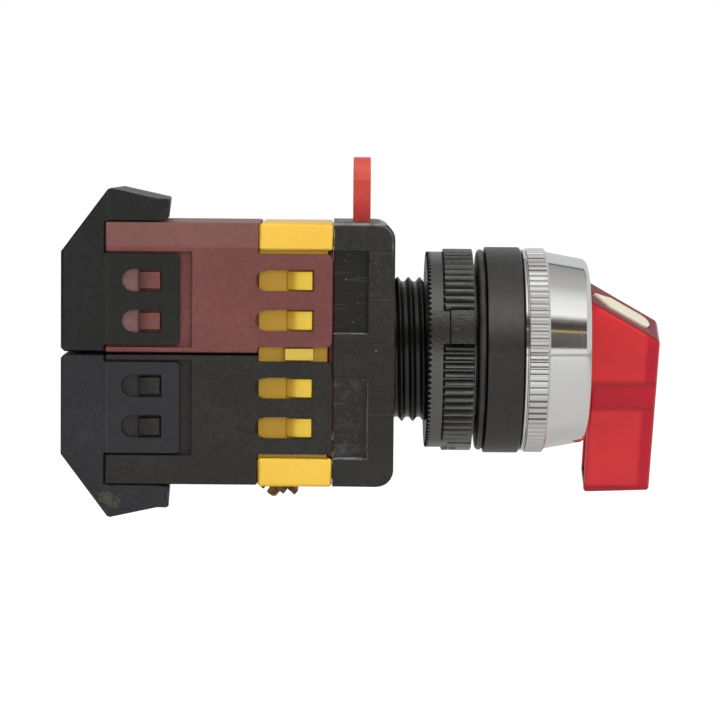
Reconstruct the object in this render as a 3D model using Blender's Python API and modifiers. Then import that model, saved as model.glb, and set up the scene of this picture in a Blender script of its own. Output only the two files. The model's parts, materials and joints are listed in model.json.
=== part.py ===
"""Illuminated selector switch for a 22 mm panel hole, lying with its axis level.

The origin is on the switch's axis, in the plane where the gasket meets the front of the panel.
+X points to the handle and +Z to the lock lever. All sizes are in metres.
"""

import math

import bmesh
import bpy
from mathutils import Matrix, Vector

# Gaps between pieces
SEAM = 0.0002
FIT = 0.0003

# Facets of round pieces
ROUND_STEPS = 36
MEDIUM_STEPS = 24
SMALL_STEPS = 12
SHADE_ANGLE = 35.0
ROUND_SHADE_ANGLE = 80.0
BEVEL_ANGLE = 50.0
ARC_STEPS = 3

# Gasket and head
GASKET_THICKNESS = 0.0010
GASKET_INSET = 0.0003
HEAD_LENGTH = 0.0054
HEAD_OVERHANG = 0.0001
EDGE_ROUND = 0.0003
THREAD_RADIUS = 0.0106
BARREL_WALL = 0.0022
BORE_SHOULDER_WIDTH = 0.0008
BORE_SHOULDER_PLACE = 0.0040

# Bezel
BEZEL_LENGTH = 0.0094
BEZEL_LIP_INSET = 0.0003
BEZEL_LIP_LENGTH = 0.0003
KNURL_INSET = 0.0001
KNURL_LENGTH = 0.0031
CONE_INSET = 0.0006
CONE_FALL = 0.0009
RIM_ROUND = 0.0011
BEZEL_WALL = 0.0011
BEZEL_RIM_WIDTH = 0.0020
BEZEL_RIM_THICKNESS = 0.0010

# Handle, in its own upright position
HANDLE_ANGLE = 30.0
HANDLE_THROW = 60.0
DISC_THICKNESS = 0.0035
GRIP_WIDTH = 0.0060
GRIP_REACH = 0.0106
GRIP_TAIL = 0.0235
GRIP_TAIL_SETBACK = 0.0008
GRIP_NOSE_HEIGHT = 0.0030
GRIP_TOP_HEIGHT = 0.0097
GRIP_EDGE = 0.0004
GRIP_FRONT_WALL = 0.0019
GRIP_SLOPE_WALL = 0.0016
GRIP_SIDE_WALL = 0.0011
GRIP_TAIL_WALL = 0.0012
GRIP_WEB_TOP = 0.0039
GRIP_WEB_THICKNESS = 0.0045
SHAFT_WALL = 0.0012
SEAL_WIRE = 0.0005
SEAL_LIP = 0.0009
INSERT_WIDTH = 0.0025
INSERT_THICKNESS = 0.0009
INSERT_MARGIN = 0.0011
INSERT_POINT = 0.0030

# Cam sleeve and follower
FOLLOWER_TRAVEL = 0.0030
CAM_LENGTH = 0.0067
CAM_WALL = 0.0007
CAM_SPIGOT = 0.0040
RAMP_INSET = 0.0004
NOSE_LEAD = 0.0001
RAMP_START = 10.0
NOSE_ANGLE = 20.0
RAMP_STEPS = 16
NOSE_STEPS = 4
FOLLOWER_RIM = 0.0012
FOLLOWER_SHOULDER = 0.0052
FOLLOWER_OVERHANG = 0.0010
KEY_WIDTH = 0.0022
KEY_LENGTH = 0.0070
KEYWAY_WALL = 0.0006
FOLLOWER_SPRING_WIRE = 0.0004
FOLLOWER_SPRING_TURNS = 6

# Locknut
NUT_LENGTH = 0.0072
NUT_BOSS_WALL = 0.0016
NUT_BOSS_LENGTH = 0.0004
NUT_WALL = 0.0032
NUT_BAND_RISE = 0.00025
NUT_BAND_LENGTH = 0.0020
NUT_RIB_HEIGHT = 0.0007
NUT_RIB_COUNT = 72
NUT_RIB_SHARE = 0.6
NUT_PAD_SHARE = 0.96
NUT_PAD_COUNT = 4
NUT_PAD_ANGLE = 20.0
NUT_PAD_START = 74.0

# Base holder, lock ring and retainer
BASE_SETBACK = 0.0122
BASE_FRONT_WALL = 0.0031
BASE_HALF_HEIGHT = 0.0188
LOCK_RING_WIDTH = 0.0026
BASE_WALL = 0.0012
BASE_CORNER = 0.0024
CORNER_STEPS = 6
BASE_RECESS_LENGTH = 0.0049
BASE_RECESS_DEPTH = 0.0010
BASE_RECESS_LOW = 0.0031
BASE_RECESS_HIGH = 0.0148
LOCK_THICKNESS = 0.0025
LOCK_THROW = 26.0
LOCK_GROOVE_DEPTH = 0.0008
LOCK_RIM = 0.0012
LOCK_LUG_ANGLE = 24.0
LOCK_ENTRY_MARGIN = 2.0
LEVER_TOP = 0.0281
LEVER_WIDTH = 0.0068
BARREL_CLEARANCE = 0.0013
RETAINER_THICKNESS = 0.0004
RETAINER_BORE_RADIUS = 0.0099
RETAINER_INSET = 0.0010

# Lamp block, lamp and its terminals
LAMP_BLOCK_DEPTH = 0.0097
PAD_LEAD = 0.00045
CORE_INSET = 0.0016
RIB_HALF_HEIGHT = 0.00085
RIB_LENGTH = 0.00405
HOOK_RISE = 0.0013
HOOK_LENGTH = 0.0036
HOOK_FLAT = 0.0018
WELL_DEPTH = 0.0027
PEG_RADIUS = 0.0012
PEG_LENGTH = 0.0028
PEG_DEPTH_INSET = 0.0035
PEG_HEIGHT_INSET = 0.0021
BULB_CLEARANCE = 0.0004
BULB_FRONT = 0.0085
BULB_GLASS_LENGTH = 0.0200
BULB_CAP_INSET = 0.0002
BULB_CAP_LENGTH = 0.0090
BULB_TIP_RADIUS = 0.0018
BULB_TIP_LENGTH = 0.0010
SOCKET_WALL = 0.0004
SOCKET_OVERLAP = 0.0080
SOCKET_FLOOR = 0.0005
LAMP_CONTACT_RADIUS = 0.0022
LAMP_CONTACT_STEM = 0.0010
LAMP_CONTACT_HEAD = 0.0022
REAR_WALL = 0.0020
LAMP_SCREW_TILT = 50.0
LAMP_SCREW_LEAD = 0.0008
LAMP_SCREW_DROP = 0.0017
LAMP_SCREW_PLACE = 0.0055
LAMP_HEAD_RADIUS = 0.0018
LAMP_HEAD_HEIGHT = 0.0012
LAMP_SHANK_RADIUS = 0.0011
LAMP_SHANK_LENGTH = 0.0055
LAMP_CLAMP_SIZE = 0.0046
LAMP_STRIP_WIDTH = 0.0054
LAMP_STRIP_TAIL = 0.0036
LAMP_STRIP_HEAD = 0.0015
LAMP_STRIP_LEG = 0.0080
METAL_THICKNESS = 0.0008

# Contact blocks, with heights counted from the switch's axis
HOUSING_LENGTH = 0.0215
HOUSING_INSET = 0.00015
HOUSING_SPLIT = 0.00015
HOUSING_WALL = 0.0014
PARTITION_SETBACK = 0.0015
PARTITION_THICKNESS = 0.0018
SIDE_WALL = 0.0026
FRONT_PLATE_THICKNESS = 0.0014
PLUNGER_INSET = 0.00035
PLUNGER_SIZE = 0.0032
PLUNGER_REACH = 0.0020
COLLAR_SIZE = 0.0058
COLLAR_THICKNESS = 0.0010
COLLAR_SETBACK = 0.0043
PIN_RADIUS = 0.0012
PIN_LENGTH = 0.0041
BRIDGE_HALF_LENGTH = 0.0070
BRIDGE_WIDTH = 0.0050
CONTACT_SPRING_WIRE = 0.0003
CONTACT_SPRING_RADIUS = 0.0020
CONTACT_SPRING_TURNS = 4
STRIP_INNER = 0.0037
STRIP_CLEARANCE = 0.0005
TERMINAL_OFFSET = 0.0086
TERMINAL_WIDTH = 0.0064
TERMINAL_HEAD_RADIUS = 0.0028
TERMINAL_HEAD_HEIGHT = 0.0019
TERMINAL_SHANK_RADIUS = 0.0014
TERMINAL_SHANK_LENGTH = 0.0062
TERMINAL_CLAMP_SIZE = 0.0062
SLOT_WIDTH = 0.0007
SLOT_DEPTH = 0.0008
BARRIER_THICKNESS = 0.0014
BARRIER_REACH = 0.0026
LUG_LOW = 0.00105
LUG_SHOULDER = 0.0044
LUG_WINDOW_LEAD = 0.0004
PAD_CLEARANCE = 0.00055
LUG_CORNER = 0.0008
LUG_WINDOW_HEIGHT = 0.00305
LUG_WINDOW_SPACING = 0.00566
LUG_TIP = 0.0020

# Terminal covers
COVER_DEPTH = 0.0063
COVER_WALL = 0.0013
COVER_LOW = 0.0002
COVER_CHAMFER = 0.0005
COVER_SHOULDER = 0.0144
COVER_PEAK_SETBACK = 0.0005
COVER_PEAK_RISE = 0.00485
COVER_PEAK_WALL = 0.0016
HOOD_LENGTH = 0.0082
HOOD_FRONT_RISE = 0.00335
HOOD_FLAT = 0.0008
HOOD_UNDERCUT = 0.0004
ACCESS_RADIUS = 0.0019
TONGUE_LENGTH = 0.0106
TONGUE_THICKNESS = 0.0010
TONGUE_LOW = 0.0012
TONGUE_HIGH = 0.0142
TONGUE_CORNER = 0.0007
TONGUE_WINDOW_START = 0.0023
TONGUE_WINDOW_LENGTH = 0.0057
TONGUE_WINDOW_HEIGHT = 0.0032
TONGUE_WINDOW_LOW = 0.0046
TONGUE_WINDOW_HIGH = 0.0104
POCKET_DEPTH = 0.00125
POCKET_MARGIN = 0.0003
POCKET_END = 0.0017
COVER_HOOK_LENGTH = 0.0030
COVER_HOOK_HEIGHT = 0.0024

# Stations along the axis, from the panel forwards
HEAD_REAR = GASKET_THICKNESS + SEAM
HEAD_FRONT = HEAD_REAR + HEAD_LENGTH
BEZEL_REAR = HEAD_FRONT + SEAM
BEZEL_FRONT = BEZEL_REAR + BEZEL_LENGTH
DISC_REAR = BEZEL_FRONT - DISC_THICKNESS
SPIGOT_FRONT = DISC_REAR - FIT
GRIP_FRONT = BEZEL_FRONT + GRIP_REACH
CAM_FRONT = BORE_SHOULDER_PLACE - FIT
CAM_REAR = CAM_FRONT - CAM_LENGTH
RAMP_ANGLE = HANDLE_THROW + NOSE_ANGLE
RAMP_RISE = FOLLOWER_TRAVEL * RAMP_ANGLE / HANDLE_THROW
RAMP_TOP = CAM_REAR + NOSE_LEAD
FOLLOWER_FRONT = CAM_REAR - RAMP_RISE - FIT

# Stations along the axis, from the panel backwards
NUT_FRONT = -FIT
NUT_REAR = NUT_FRONT - NUT_LENGTH
BASE_FRONT = -BASE_SETBACK
LOCK_FRONT = BASE_FRONT - BASE_FRONT_WALL - FIT
LOCK_REAR = LOCK_FRONT - LOCK_THICKNESS
BARREL_REAR = LOCK_REAR - FIT - LOCK_RIM
BASE_REAR = BARREL_REAR - BARREL_CLEARANCE
RETAINER_FRONT = BASE_REAR - SEAM
RETAINER_REAR = RETAINER_FRONT - RETAINER_THICKNESS
LAMP_FRONT = RETAINER_REAR - SEAM
LAMP_REAR = LAMP_FRONT - LAMP_BLOCK_DEPTH
WELL_FLOOR = LAMP_FRONT - WELL_DEPTH
FOLLOWER_REAR = LAMP_FRONT + FOLLOWER_OVERHANG
SHOULDER_PLACE = FOLLOWER_FRONT - FOLLOWER_SHOULDER
HOUSING_FRONT = LAMP_REAR - SEAM
HOUSING_REAR = HOUSING_FRONT - HOUSING_LENGTH
PARTITION_REAR = HOUSING_REAR + PARTITION_SETBACK
PARTITION_FRONT = PARTITION_REAR + PARTITION_THICKNESS
PLUNGER_FRONT = HOUSING_FRONT + PLUNGER_REACH
ROD_REAR = PLUNGER_FRONT + FIT
ROD_FRONT = FOLLOWER_REAR - FIT
COLLAR_FRONT = HOUSING_FRONT - COLLAR_SETBACK
COLLAR_REAR = COLLAR_FRONT - COLLAR_THICKNESS
BRIDGE_FRONT = COLLAR_REAR - FIT
BRIDGE_REAR = BRIDGE_FRONT - METAL_THICKNESS
COVER_FACE = HOUSING_REAR - SEAM
COVER_REAR = COVER_FACE - COVER_DEPTH
HOOD_FRONT = COVER_FACE + HOOD_LENGTH

# Radii, from the thread inwards and from the bezel inwards
GROOVE_RADIUS = THREAD_RADIUS - LOCK_GROOVE_DEPTH
KEYWAY_RADIUS = GROOVE_RADIUS - KEYWAY_WALL
KEY_RADIUS = KEYWAY_RADIUS - FIT
BARREL_BORE = THREAD_RADIUS - BARREL_WALL
SLIDER_RADIUS = BARREL_BORE - FIT
SHAFT_BORE = BARREL_BORE - BORE_SHOULDER_WIDTH
SHAFT_RADIUS = SHAFT_BORE - FIT
SHAFT_INNER = SHAFT_RADIUS - SHAFT_WALL
CAM_SPIGOT_RADIUS = SHAFT_INNER - SEAM
CAM_BORE = CAM_SPIGOT_RADIUS - CAM_WALL
BULB_RADIUS = CAM_BORE - BULB_CLEARANCE
BULB_CAP_RADIUS = BULB_RADIUS - BULB_CAP_INSET
SOCKET_INNER = BULB_CAP_RADIUS + SEAM
SOCKET_RADIUS = SOCKET_INNER + SOCKET_WALL
SOCKET_BORE = SOCKET_RADIUS + SEAM
FOLLOWER_BORE = SOCKET_RADIUS + FIT
FOLLOWER_COUNTERBORE = SLIDER_RADIUS - FOLLOWER_RIM
FOLLOWER_SPRING_RADIUS = FOLLOWER_COUNTERBORE - FIT - FOLLOWER_SPRING_WIRE
WELL_RADIUS = SLIDER_RADIUS + FIT
BARREL_HOLE = THREAD_RADIUS + FIT
LOCK_RADIUS = BARREL_HOLE + LOCK_RING_WIDTH
HALF_DEPTH = LOCK_RADIUS + FIT + BASE_WALL
HEAD_RADIUS = HALF_DEPTH + HEAD_OVERHANG
GASKET_RADIUS = HEAD_RADIUS - GASKET_INSET
KNURL_RADIUS = HEAD_RADIUS - KNURL_INSET
BEZEL_LIP_RADIUS = KNURL_RADIUS - BEZEL_LIP_INSET
CONE_REAR_RADIUS = KNURL_RADIUS - CONE_INSET
CONE_FRONT_RADIUS = CONE_REAR_RADIUS - CONE_FALL
BEZEL_OPENING = CONE_FRONT_RADIUS - BEZEL_RIM_WIDTH
SPIGOT_RADIUS = CONE_FRONT_RADIUS - BEZEL_WALL + FIT
BEZEL_BORE = SPIGOT_RADIUS + FIT
DISC_RADIUS = BEZEL_OPENING - FIT
NUT_BOSS_RADIUS = BARREL_HOLE + NUT_BOSS_WALL
NUT_ROOT_RADIUS = BARREL_HOLE + NUT_WALL
NUT_BAND_RADIUS = NUT_ROOT_RADIUS + NUT_BAND_RISE
LOCK_ENTRY_ANGLE = LOCK_LUG_ANGLE + LOCK_ENTRY_MARGIN + LOCK_ENTRY_MARGIN
PEG_DEPTH_PLACE = HALF_DEPTH - PEG_DEPTH_INSET
PEG_HEIGHT_PLACE = BASE_HALF_HEIGHT - PEG_HEIGHT_INSET
LAMP_BLOCK_HALF_HEIGHT = BASE_HALF_HEIGHT - SEAM
HOUSING_TOP = BASE_HALF_HEIGHT - HOUSING_INSET
LUG_HIGH = HOUSING_TOP - LUG_SHOULDER
PAD_LOW = LUG_HIGH + PAD_CLEARANCE
COVER_PEAK = HOUSING_TOP + COVER_PEAK_RISE
HOOD_FRONT_TOP = HOUSING_TOP + HOOD_FRONT_RISE
RETAINER_HALF_DEPTH = HALF_DEPTH - RETAINER_INSET
RETAINER_COLLAR_OUTER = LOCK_RADIUS - FIT
RETAINER_HALF_HEIGHT = PAD_LOW - SEAM
CORE_HALF_DEPTH = HALF_DEPTH - CORE_INSET
LUG_INNER = CORE_HALF_DEPTH + FIT
CAVITY_HALF_DEPTH = HALF_DEPTH - SIDE_WALL
STRIP_OUTER = CAVITY_HALF_DEPTH - STRIP_CLEARANCE
TERMINAL_SCREW_PLACE = (STRIP_INNER + STRIP_OUTER) / 2
PLUNGER_OFFSET = SLIDER_RADIUS - PLUNGER_INSET
POCKET_FLOOR = HALF_DEPTH - POCKET_DEPTH

# Bulb and socket along the axis
BULB_CAP_FRONT = BULB_FRONT - BULB_GLASS_LENGTH
BULB_CAP_REAR = BULB_CAP_FRONT - BULB_CAP_LENGTH
BULB_REAR = BULB_CAP_REAR - BULB_TIP_LENGTH
SOCKET_FRONT = BULB_CAP_REAR + SOCKET_OVERLAP
SOCKET_REAR = LAMP_REAR + REAR_WALL + SEAM
LAMP_CONTACT_FRONT = BULB_REAR - FIT
LAMP_CONTACT_SHOULDER = LAMP_CONTACT_FRONT - LAMP_CONTACT_HEAD
LAMP_SCREW_X = LAMP_REAR + LAMP_SCREW_LEAD
LAMP_SCREW_Z = -LAMP_BLOCK_HALF_HEIGHT - LAMP_SCREW_DROP

ALONG_X = Matrix.Rotation(math.radians(90.0), 4, "Y")
HANDLE_POSE = Matrix.Rotation(math.radians(HANDLE_ANGLE), 4, "X")
SIDES = (("upper", 1.0), ("lower", -1.0))
FACES = (("near", -1.0), ("far", 1.0))


def empty_scene():
    """Remove what the scene holds and return collections for the pieces and for the cutters."""
    for old in list(bpy.data.objects):
        bpy.data.objects.remove(old, do_unlink=True)
    made = []
    for name in ("selector_switch", "cutters"):
        group = bpy.data.collections.new(name)
        bpy.context.scene.collection.children.link(group)
        made.append(group)
    return made


PARTS, CUTTERS = empty_scene()


def add_object(name, data, matrix=None):
    """Link new data as an object among the pieces."""
    piece = bpy.data.objects.new(name, data)
    PARTS.objects.link(piece)
    if matrix is not None:
        piece.matrix_world = matrix
    bpy.context.view_layer.update()
    return piece


def evaluated_mesh(piece):
    """Return the mesh that an object's modifiers or curve settings make."""
    graph = bpy.context.evaluated_depsgraph_get()
    return bpy.data.meshes.new_from_object(piece.evaluated_get(graph))


def shade(mesh, angle=SHADE_ANGLE):
    """Shade a mesh smooth, with its real edges kept sharp."""
    mesh.shade_smooth()
    mesh.set_sharp_from_angle(angle=math.radians(angle))


def freeze(piece):
    """Turn an object's modifiers into its mesh."""
    mesh = evaluated_mesh(piece)
    piece.modifiers.clear()
    piece.data = mesh
    shade(mesh)
    return piece


def facing(direction, place=(0.0, 0.0, 0.0)):
    """Return the matrix that turns local Z to a direction and moves it to a place."""
    turn = Vector((0.0, 0.0, 1.0)).rotation_difference(Vector(direction))
    return Matrix.Translation(place) @ turn.to_matrix().to_4x4()


def turned(name, profile, steps=ROUND_STEPS, matrix=ALONG_X):
    """Turn a profile of (height, radius) points, listed down its outer side and up its bore."""
    points = [(radius, 0.0, height) for height, radius in profile]
    edges = [(i, i + 1) for i in range(len(points) - 1)]
    if profile[0][1] > 0.0:
        edges.append((len(points) - 1, 0))
    mesh = bpy.data.meshes.new(name)
    mesh.from_pydata(points, edges, [])
    piece = add_object(name, mesh, matrix)
    screw = piece.modifiers.new("Turn", "SCREW")
    screw.axis = "Z"
    screw.angle = math.tau
    screw.steps = steps
    screw.render_steps = steps
    screw.use_merge_vertices = True
    screw.merge_threshold = 0.00001
    return freeze(piece)


def plate(name, outlines, thickness, matrix):
    """Extrude flat outlines, the later ones being holes in the first, about their own plane."""
    curve = bpy.data.curves.new(name, "CURVE")
    curve.dimensions = "2D"
    curve.fill_mode = "BOTH"
    curve.extrude = thickness / 2
    for outline in outlines:
        spline = curve.splines.new("POLY")
        spline.points.add(len(outline) - 1)
        for point, (u, v) in zip(spline.points, outline):
            point.co = (u, v, 0.0, 1.0)
        spline.use_cyclic_u = True
    guide = add_object(name + "_outline", curve)
    mesh = evaluated_mesh(guide)
    bpy.data.objects.remove(guide, do_unlink=True)
    shell = bmesh.new()
    shell.from_mesh(mesh)
    bmesh.ops.remove_doubles(shell, verts=shell.verts, dist=0.000005)
    bmesh.ops.recalc_face_normals(shell, faces=shell.faces)
    shell.to_mesh(mesh)
    shell.free()
    shade(mesh)
    return add_object(name, mesh, matrix)


def slab_x(name, outlines, low, high):
    """Extrude (Y, Z) outlines along X."""
    turn = Matrix(((0, 0, 1, (low + high) / 2), (1, 0, 0, 0), (0, 1, 0, 0), (0, 0, 0, 1)))
    return plate(name, outlines, high - low, turn)


def slab_y(name, outlines, low, high, pose=None):
    """Extrude (X, Z) outlines along Y, turned with a pose where one is given."""
    turn = Matrix(((1, 0, 0, 0), (0, 0, -1, (low + high) / 2), (0, 1, 0, 0), (0, 0, 0, 1)))
    return plate(name, outlines, high - low, turn if pose is None else pose @ turn)


def slab_z(name, outlines, low, high):
    """Extrude (X, Y) outlines along Z."""
    return plate(name, outlines, high - low, Matrix.Translation((0, 0, (low + high) / 2)))


def block(name, xs, ys, zs, pose=None):
    """Make a box from its limits along X, Y and Z, given in either order."""
    spans = [sorted(limits) for limits in (xs, ys, zs)]
    size = [high - low for low, high in spans]
    middle = Matrix.Translation([(low + high) / 2 for low, high in spans])
    shell = bmesh.new()
    bmesh.ops.create_cube(shell, size=1.0, matrix=Matrix.Diagonal((*size, 1.0)))
    mesh = bpy.data.meshes.new(name)
    shell.to_mesh(mesh)
    shell.free()
    return add_object(name, mesh, middle if pose is None else pose @ middle)


def cylinder(name, radius, start, end, steps=SMALL_STEPS, matrix=ALONG_X):
    """Make a solid rod between two heights on its own axis."""
    return turned(name, [(end, 0.0), (end, radius), (start, radius), (start, 0.0)], steps, matrix)


def soften(piece, width, segments=1):
    """Round or chamfer the sharp edges of a piece."""
    bevel = piece.modifiers.new("Edges", "BEVEL")
    bevel.width = width
    bevel.segments = segments
    bevel.limit_method = "ANGLE"
    bevel.angle_limit = math.radians(BEVEL_ANGLE)
    return freeze(piece)


def combine(target, tool, operation):
    """Add or subtract another shape, which then belongs to the cutters."""
    boolean = target.modifiers.new(tool.name, "BOOLEAN")
    boolean.operation = operation
    boolean.solver = "EXACT"
    boolean.object = tool
    PARTS.objects.unlink(tool)
    CUTTERS.objects.link(tool)
    tool.hide_render = True
    tool.display_type = "WIRE"


def join(target, *tools):
    """Unite other shapes with a piece."""
    for tool in tools:
        combine(target, tool, "UNION")


def cut(target, *tools):
    """Take other shapes away from a piece."""
    for tool in tools:
        combine(target, tool, "DIFFERENCE")


def dress(piece, colour, roughness, metallic=0.0):
    """Give a piece a material of its own."""
    material = bpy.data.materials.new(piece.name)
    material.use_nodes = True
    shader = material.node_tree.nodes["Principled BSDF"]
    shader.inputs["Base Color"].default_value = (*colour, 1.0)
    shader.inputs["Roughness"].default_value = roughness
    shader.inputs["Metallic"].default_value = metallic
    piece.data.materials.clear()
    piece.data.materials.append(material)
    return piece


def arc(centre, radius, start, end, steps=ARC_STEPS):
    """Return the points of an arc in a plane, its angles in degrees."""
    points = []
    for step in range(steps + 1):
        angle = math.radians(start + (end - start) * step / steps)
        points.append((centre[0] + radius * math.cos(angle), centre[1] + radius * math.sin(angle)))
    return points


def circle(radius, steps, centre=(0.0, 0.0), turn=0.0):
    """Return the points of a full circle that starts at an angle in degrees."""
    return arc(centre, radius, turn, turn + 360.0, steps)[:-1]


def rectangle(us, vs):
    """Return the corners of a rectangle from its limits."""
    (u0, u1), (v0, v1) = sorted(us), sorted(vs)
    return [(u0, v0), (u1, v0), (u1, v1), (u0, v1)]


def round_start_slot(start, end, centre, height):
    """Return a slot that is round where it starts and square where it ends."""
    half = height / 2
    bend = arc((start + half, centre), half, 90.0, 270.0, 2 * ARC_STEPS)
    return [(end, centre + half)] + bend + [(end, centre - half)]


def mirrored(outline, side):
    """Turn an upper outline's heights to the given side."""
    return [(u, v * side) for u, v in outline]


def coil(name, radius, wire, start, end, turns, centre=(0.0, 0.0), per_turn=9):
    """Wind a compression spring along X."""
    curve = bpy.data.curves.new(name, "CURVE")
    curve.dimensions = "3D"
    curve.bevel_depth = wire
    curve.bevel_resolution = 1
    curve.use_fill_caps = True
    spline = curve.splines.new("POLY")
    count = turns * per_turn
    spline.points.add(count)
    low = start + wire
    high = end - wire
    for index, point in enumerate(spline.points):
        angle = math.tau * index / per_turn
        x = low + (high - low) * index / count
        y = centre[0] + radius * math.cos(angle)
        z = centre[1] + radius * math.sin(angle)
        point.co = (x, y, z, 1.0)
    guide = add_object(name + "_wire", curve)
    mesh = evaluated_mesh(guide)
    bpy.data.objects.remove(guide, do_unlink=True)
    shell = bmesh.new()
    shell.from_mesh(mesh)
    bmesh.ops.remove_doubles(shell, verts=shell.verts, dist=0.000005)
    shell.to_mesh(mesh)
    shell.free()
    shade(mesh, ROUND_SHADE_ANGLE)
    return add_object(name, mesh)


def helical_block(name, radii, xs, start, sweep, rise, steps, pose=None):
    """Sweep a radial rectangle about X while it moves backwards, for a cam's ramp or nose."""
    shell = bmesh.new()
    (inner, outer), (low, high) = sorted(radii), sorted(xs)
    corners = [(low, inner), (high, inner), (high, outer), (low, outer)]
    face = shell.faces.new([shell.verts.new((x, 0.0, r)) for x, r in corners])
    turn = Matrix.Rotation(math.radians(start), 3, "X")
    bmesh.ops.rotate(shell, verts=shell.verts, cent=(0, 0, 0), matrix=turn)
    bmesh.ops.spin(
        shell,
        geom=[face] + list(face.edges) + list(face.verts),
        cent=(0, 0, 0),
        axis=(1, 0, 0),
        dvec=(-rise / steps, 0, 0),
        angle=math.radians(sweep),
        steps=steps,
        use_duplicate=False,
    )
    bmesh.ops.recalc_face_normals(shell, faces=shell.faces)
    mesh = bpy.data.meshes.new(name)
    shell.to_mesh(mesh)
    shell.free()
    return add_object(name, mesh, pose)


BLACK_PLASTIC = (0.022, 0.022, 0.023)
MAROON_PLASTIC = (0.165, 0.070, 0.062)
YELLOW_PLASTIC = (0.90, 0.49, 0.060)
RED_LEVER = (0.55, 0.045, 0.035)
RED_CLEAR = (0.60, 0.020, 0.030)
CREAM = (0.82, 0.78, 0.62)
WHITE_PLASTIC = (0.75, 0.75, 0.72)
BRASS = (0.72, 0.52, 0.22)
STEEL = (0.55, 0.55, 0.56)
CHROME = (0.80, 0.81, 0.83)
RUBBER = (0.018, 0.018, 0.018)
CLEAR_GLASS = (0.85, 0.88, 0.88)


def make_gasket():
    """Make the rubber gasket with its half-round rim."""
    bead = GASKET_THICKNESS / 2
    rim = arc((bead, GASKET_RADIUS - bead), bead, 0.0, 180.0)
    inner = BARREL_HOLE
    outer = [(x, radius) for x, radius in rim]
    profile = [(GASKET_THICKNESS, inner)] + outer + [(0.0, inner)]
    gasket = turned("panel_gasket", profile)
    return dress(gasket, RUBBER, 0.45)


def make_head():
    """Make the head ring, its spigot and the barrel, with keyways and the lock groove."""
    e = EDGE_ROUND
    seal_outer = SPIGOT_RADIUS - SEAL_LIP
    seal_inner = seal_outer - 2 * SEAL_WIRE - 2 * SEAM
    seal_floor = SPIGOT_FRONT - 2 * SEAL_WIRE
    profile = [
        (SPIGOT_FRONT, seal_outer),
        (SPIGOT_FRONT, SPIGOT_RADIUS),
        (HEAD_FRONT, SPIGOT_RADIUS),
        (HEAD_FRONT, HEAD_RADIUS - e),
        (HEAD_FRONT - e, HEAD_RADIUS),
        (HEAD_REAR + e, HEAD_RADIUS),
        (HEAD_REAR, HEAD_RADIUS - e),
        (HEAD_REAR, THREAD_RADIUS),
        (LOCK_FRONT + FIT, THREAD_RADIUS),
        (LOCK_FRONT + FIT, GROOVE_RADIUS),
        (LOCK_REAR - FIT, GROOVE_RADIUS),
        (LOCK_REAR - FIT, THREAD_RADIUS),
        (BARREL_REAR + e, THREAD_RADIUS),
        (BARREL_REAR, THREAD_RADIUS - e),
        (BARREL_REAR, BARREL_BORE),
        (BORE_SHOULDER_PLACE, BARREL_BORE),
        (BORE_SHOULDER_PLACE, SHAFT_BORE),
        (SPIGOT_FRONT, SHAFT_BORE),
        (SPIGOT_FRONT, seal_inner),
        (seal_floor, seal_inner),
        (seal_floor, seal_outer),
    ]
    head = turned("head_body", profile)
    half = KEY_WIDTH / 2 + FIT
    keyway_front = FOLLOWER_FRONT
    for label, side in SIDES:
        span = (side * (BARREL_BORE - BARREL_WALL), side * KEYWAY_RADIUS)
        cut(head, block(label + "_keyway", (keyway_front, BARREL_REAR - FIT), (-half, half), span))
    for label, middle in (("near", 180.0), ("far", 0.0)):
        start = middle - LOCK_THROW - LOCK_ENTRY_ANGLE / 2
        end = start + LOCK_ENTRY_ANGLE
        wedge = arc((0, 0), BARREL_HOLE, start, end) + arc((0, 0), GROOVE_RADIUS, end, start)
        cut(head, slab_x(label + "_lock_entry", [wedge], BARREL_REAR - FIT, LOCK_REAR - FIT / 2))
    return dress(head, BLACK_PLASTIC, 0.42)


def make_bezel():
    """Make the chrome bezel: rounded rim, cone, knurled band and rear lip."""
    knurl_front = BEZEL_REAR + BEZEL_LIP_LENGTH + KNURL_LENGTH
    e = EDGE_ROUND
    rim = arc((BEZEL_FRONT - RIM_ROUND, CONE_FRONT_RADIUS - RIM_ROUND), RIM_ROUND, 0.0, 90.0)
    profile = [(BEZEL_FRONT, BEZEL_OPENING)] + rim
    profile += [
        (knurl_front + e, CONE_REAR_RADIUS),
        (knurl_front, CONE_REAR_RADIUS + e),
        (knurl_front, KNURL_RADIUS - e),
        (knurl_front - e, KNURL_RADIUS),
        (BEZEL_REAR + BEZEL_LIP_LENGTH + e, KNURL_RADIUS),
        (BEZEL_REAR + BEZEL_LIP_LENGTH, BEZEL_LIP_RADIUS),
        (BEZEL_REAR, BEZEL_LIP_RADIUS),
        (BEZEL_REAR, BEZEL_BORE),
        (BEZEL_FRONT - BEZEL_RIM_THICKNESS - RIM_ROUND, BEZEL_BORE),
        (BEZEL_FRONT - BEZEL_RIM_THICKNESS, BEZEL_OPENING),
    ]
    return dress(turned("bezel", profile), CHROME, 0.08, 1.0)


def slope_frame():
    """Return the length of the upright handle's slope and the matrix of its plane."""
    start = Vector((BEZEL_FRONT + FIT, 0.0, GRIP_TOP_HEIGHT))
    end = Vector((GRIP_FRONT, 0.0, GRIP_NOSE_HEIGHT))
    along = (end - start).normalized()
    across = Vector((0.0, 1.0, 0.0))
    out = along.cross(across)
    turn = Matrix((along, across, out)).transposed().to_4x4()
    return (end - start).length, Matrix.Translation(start) @ turn


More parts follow.
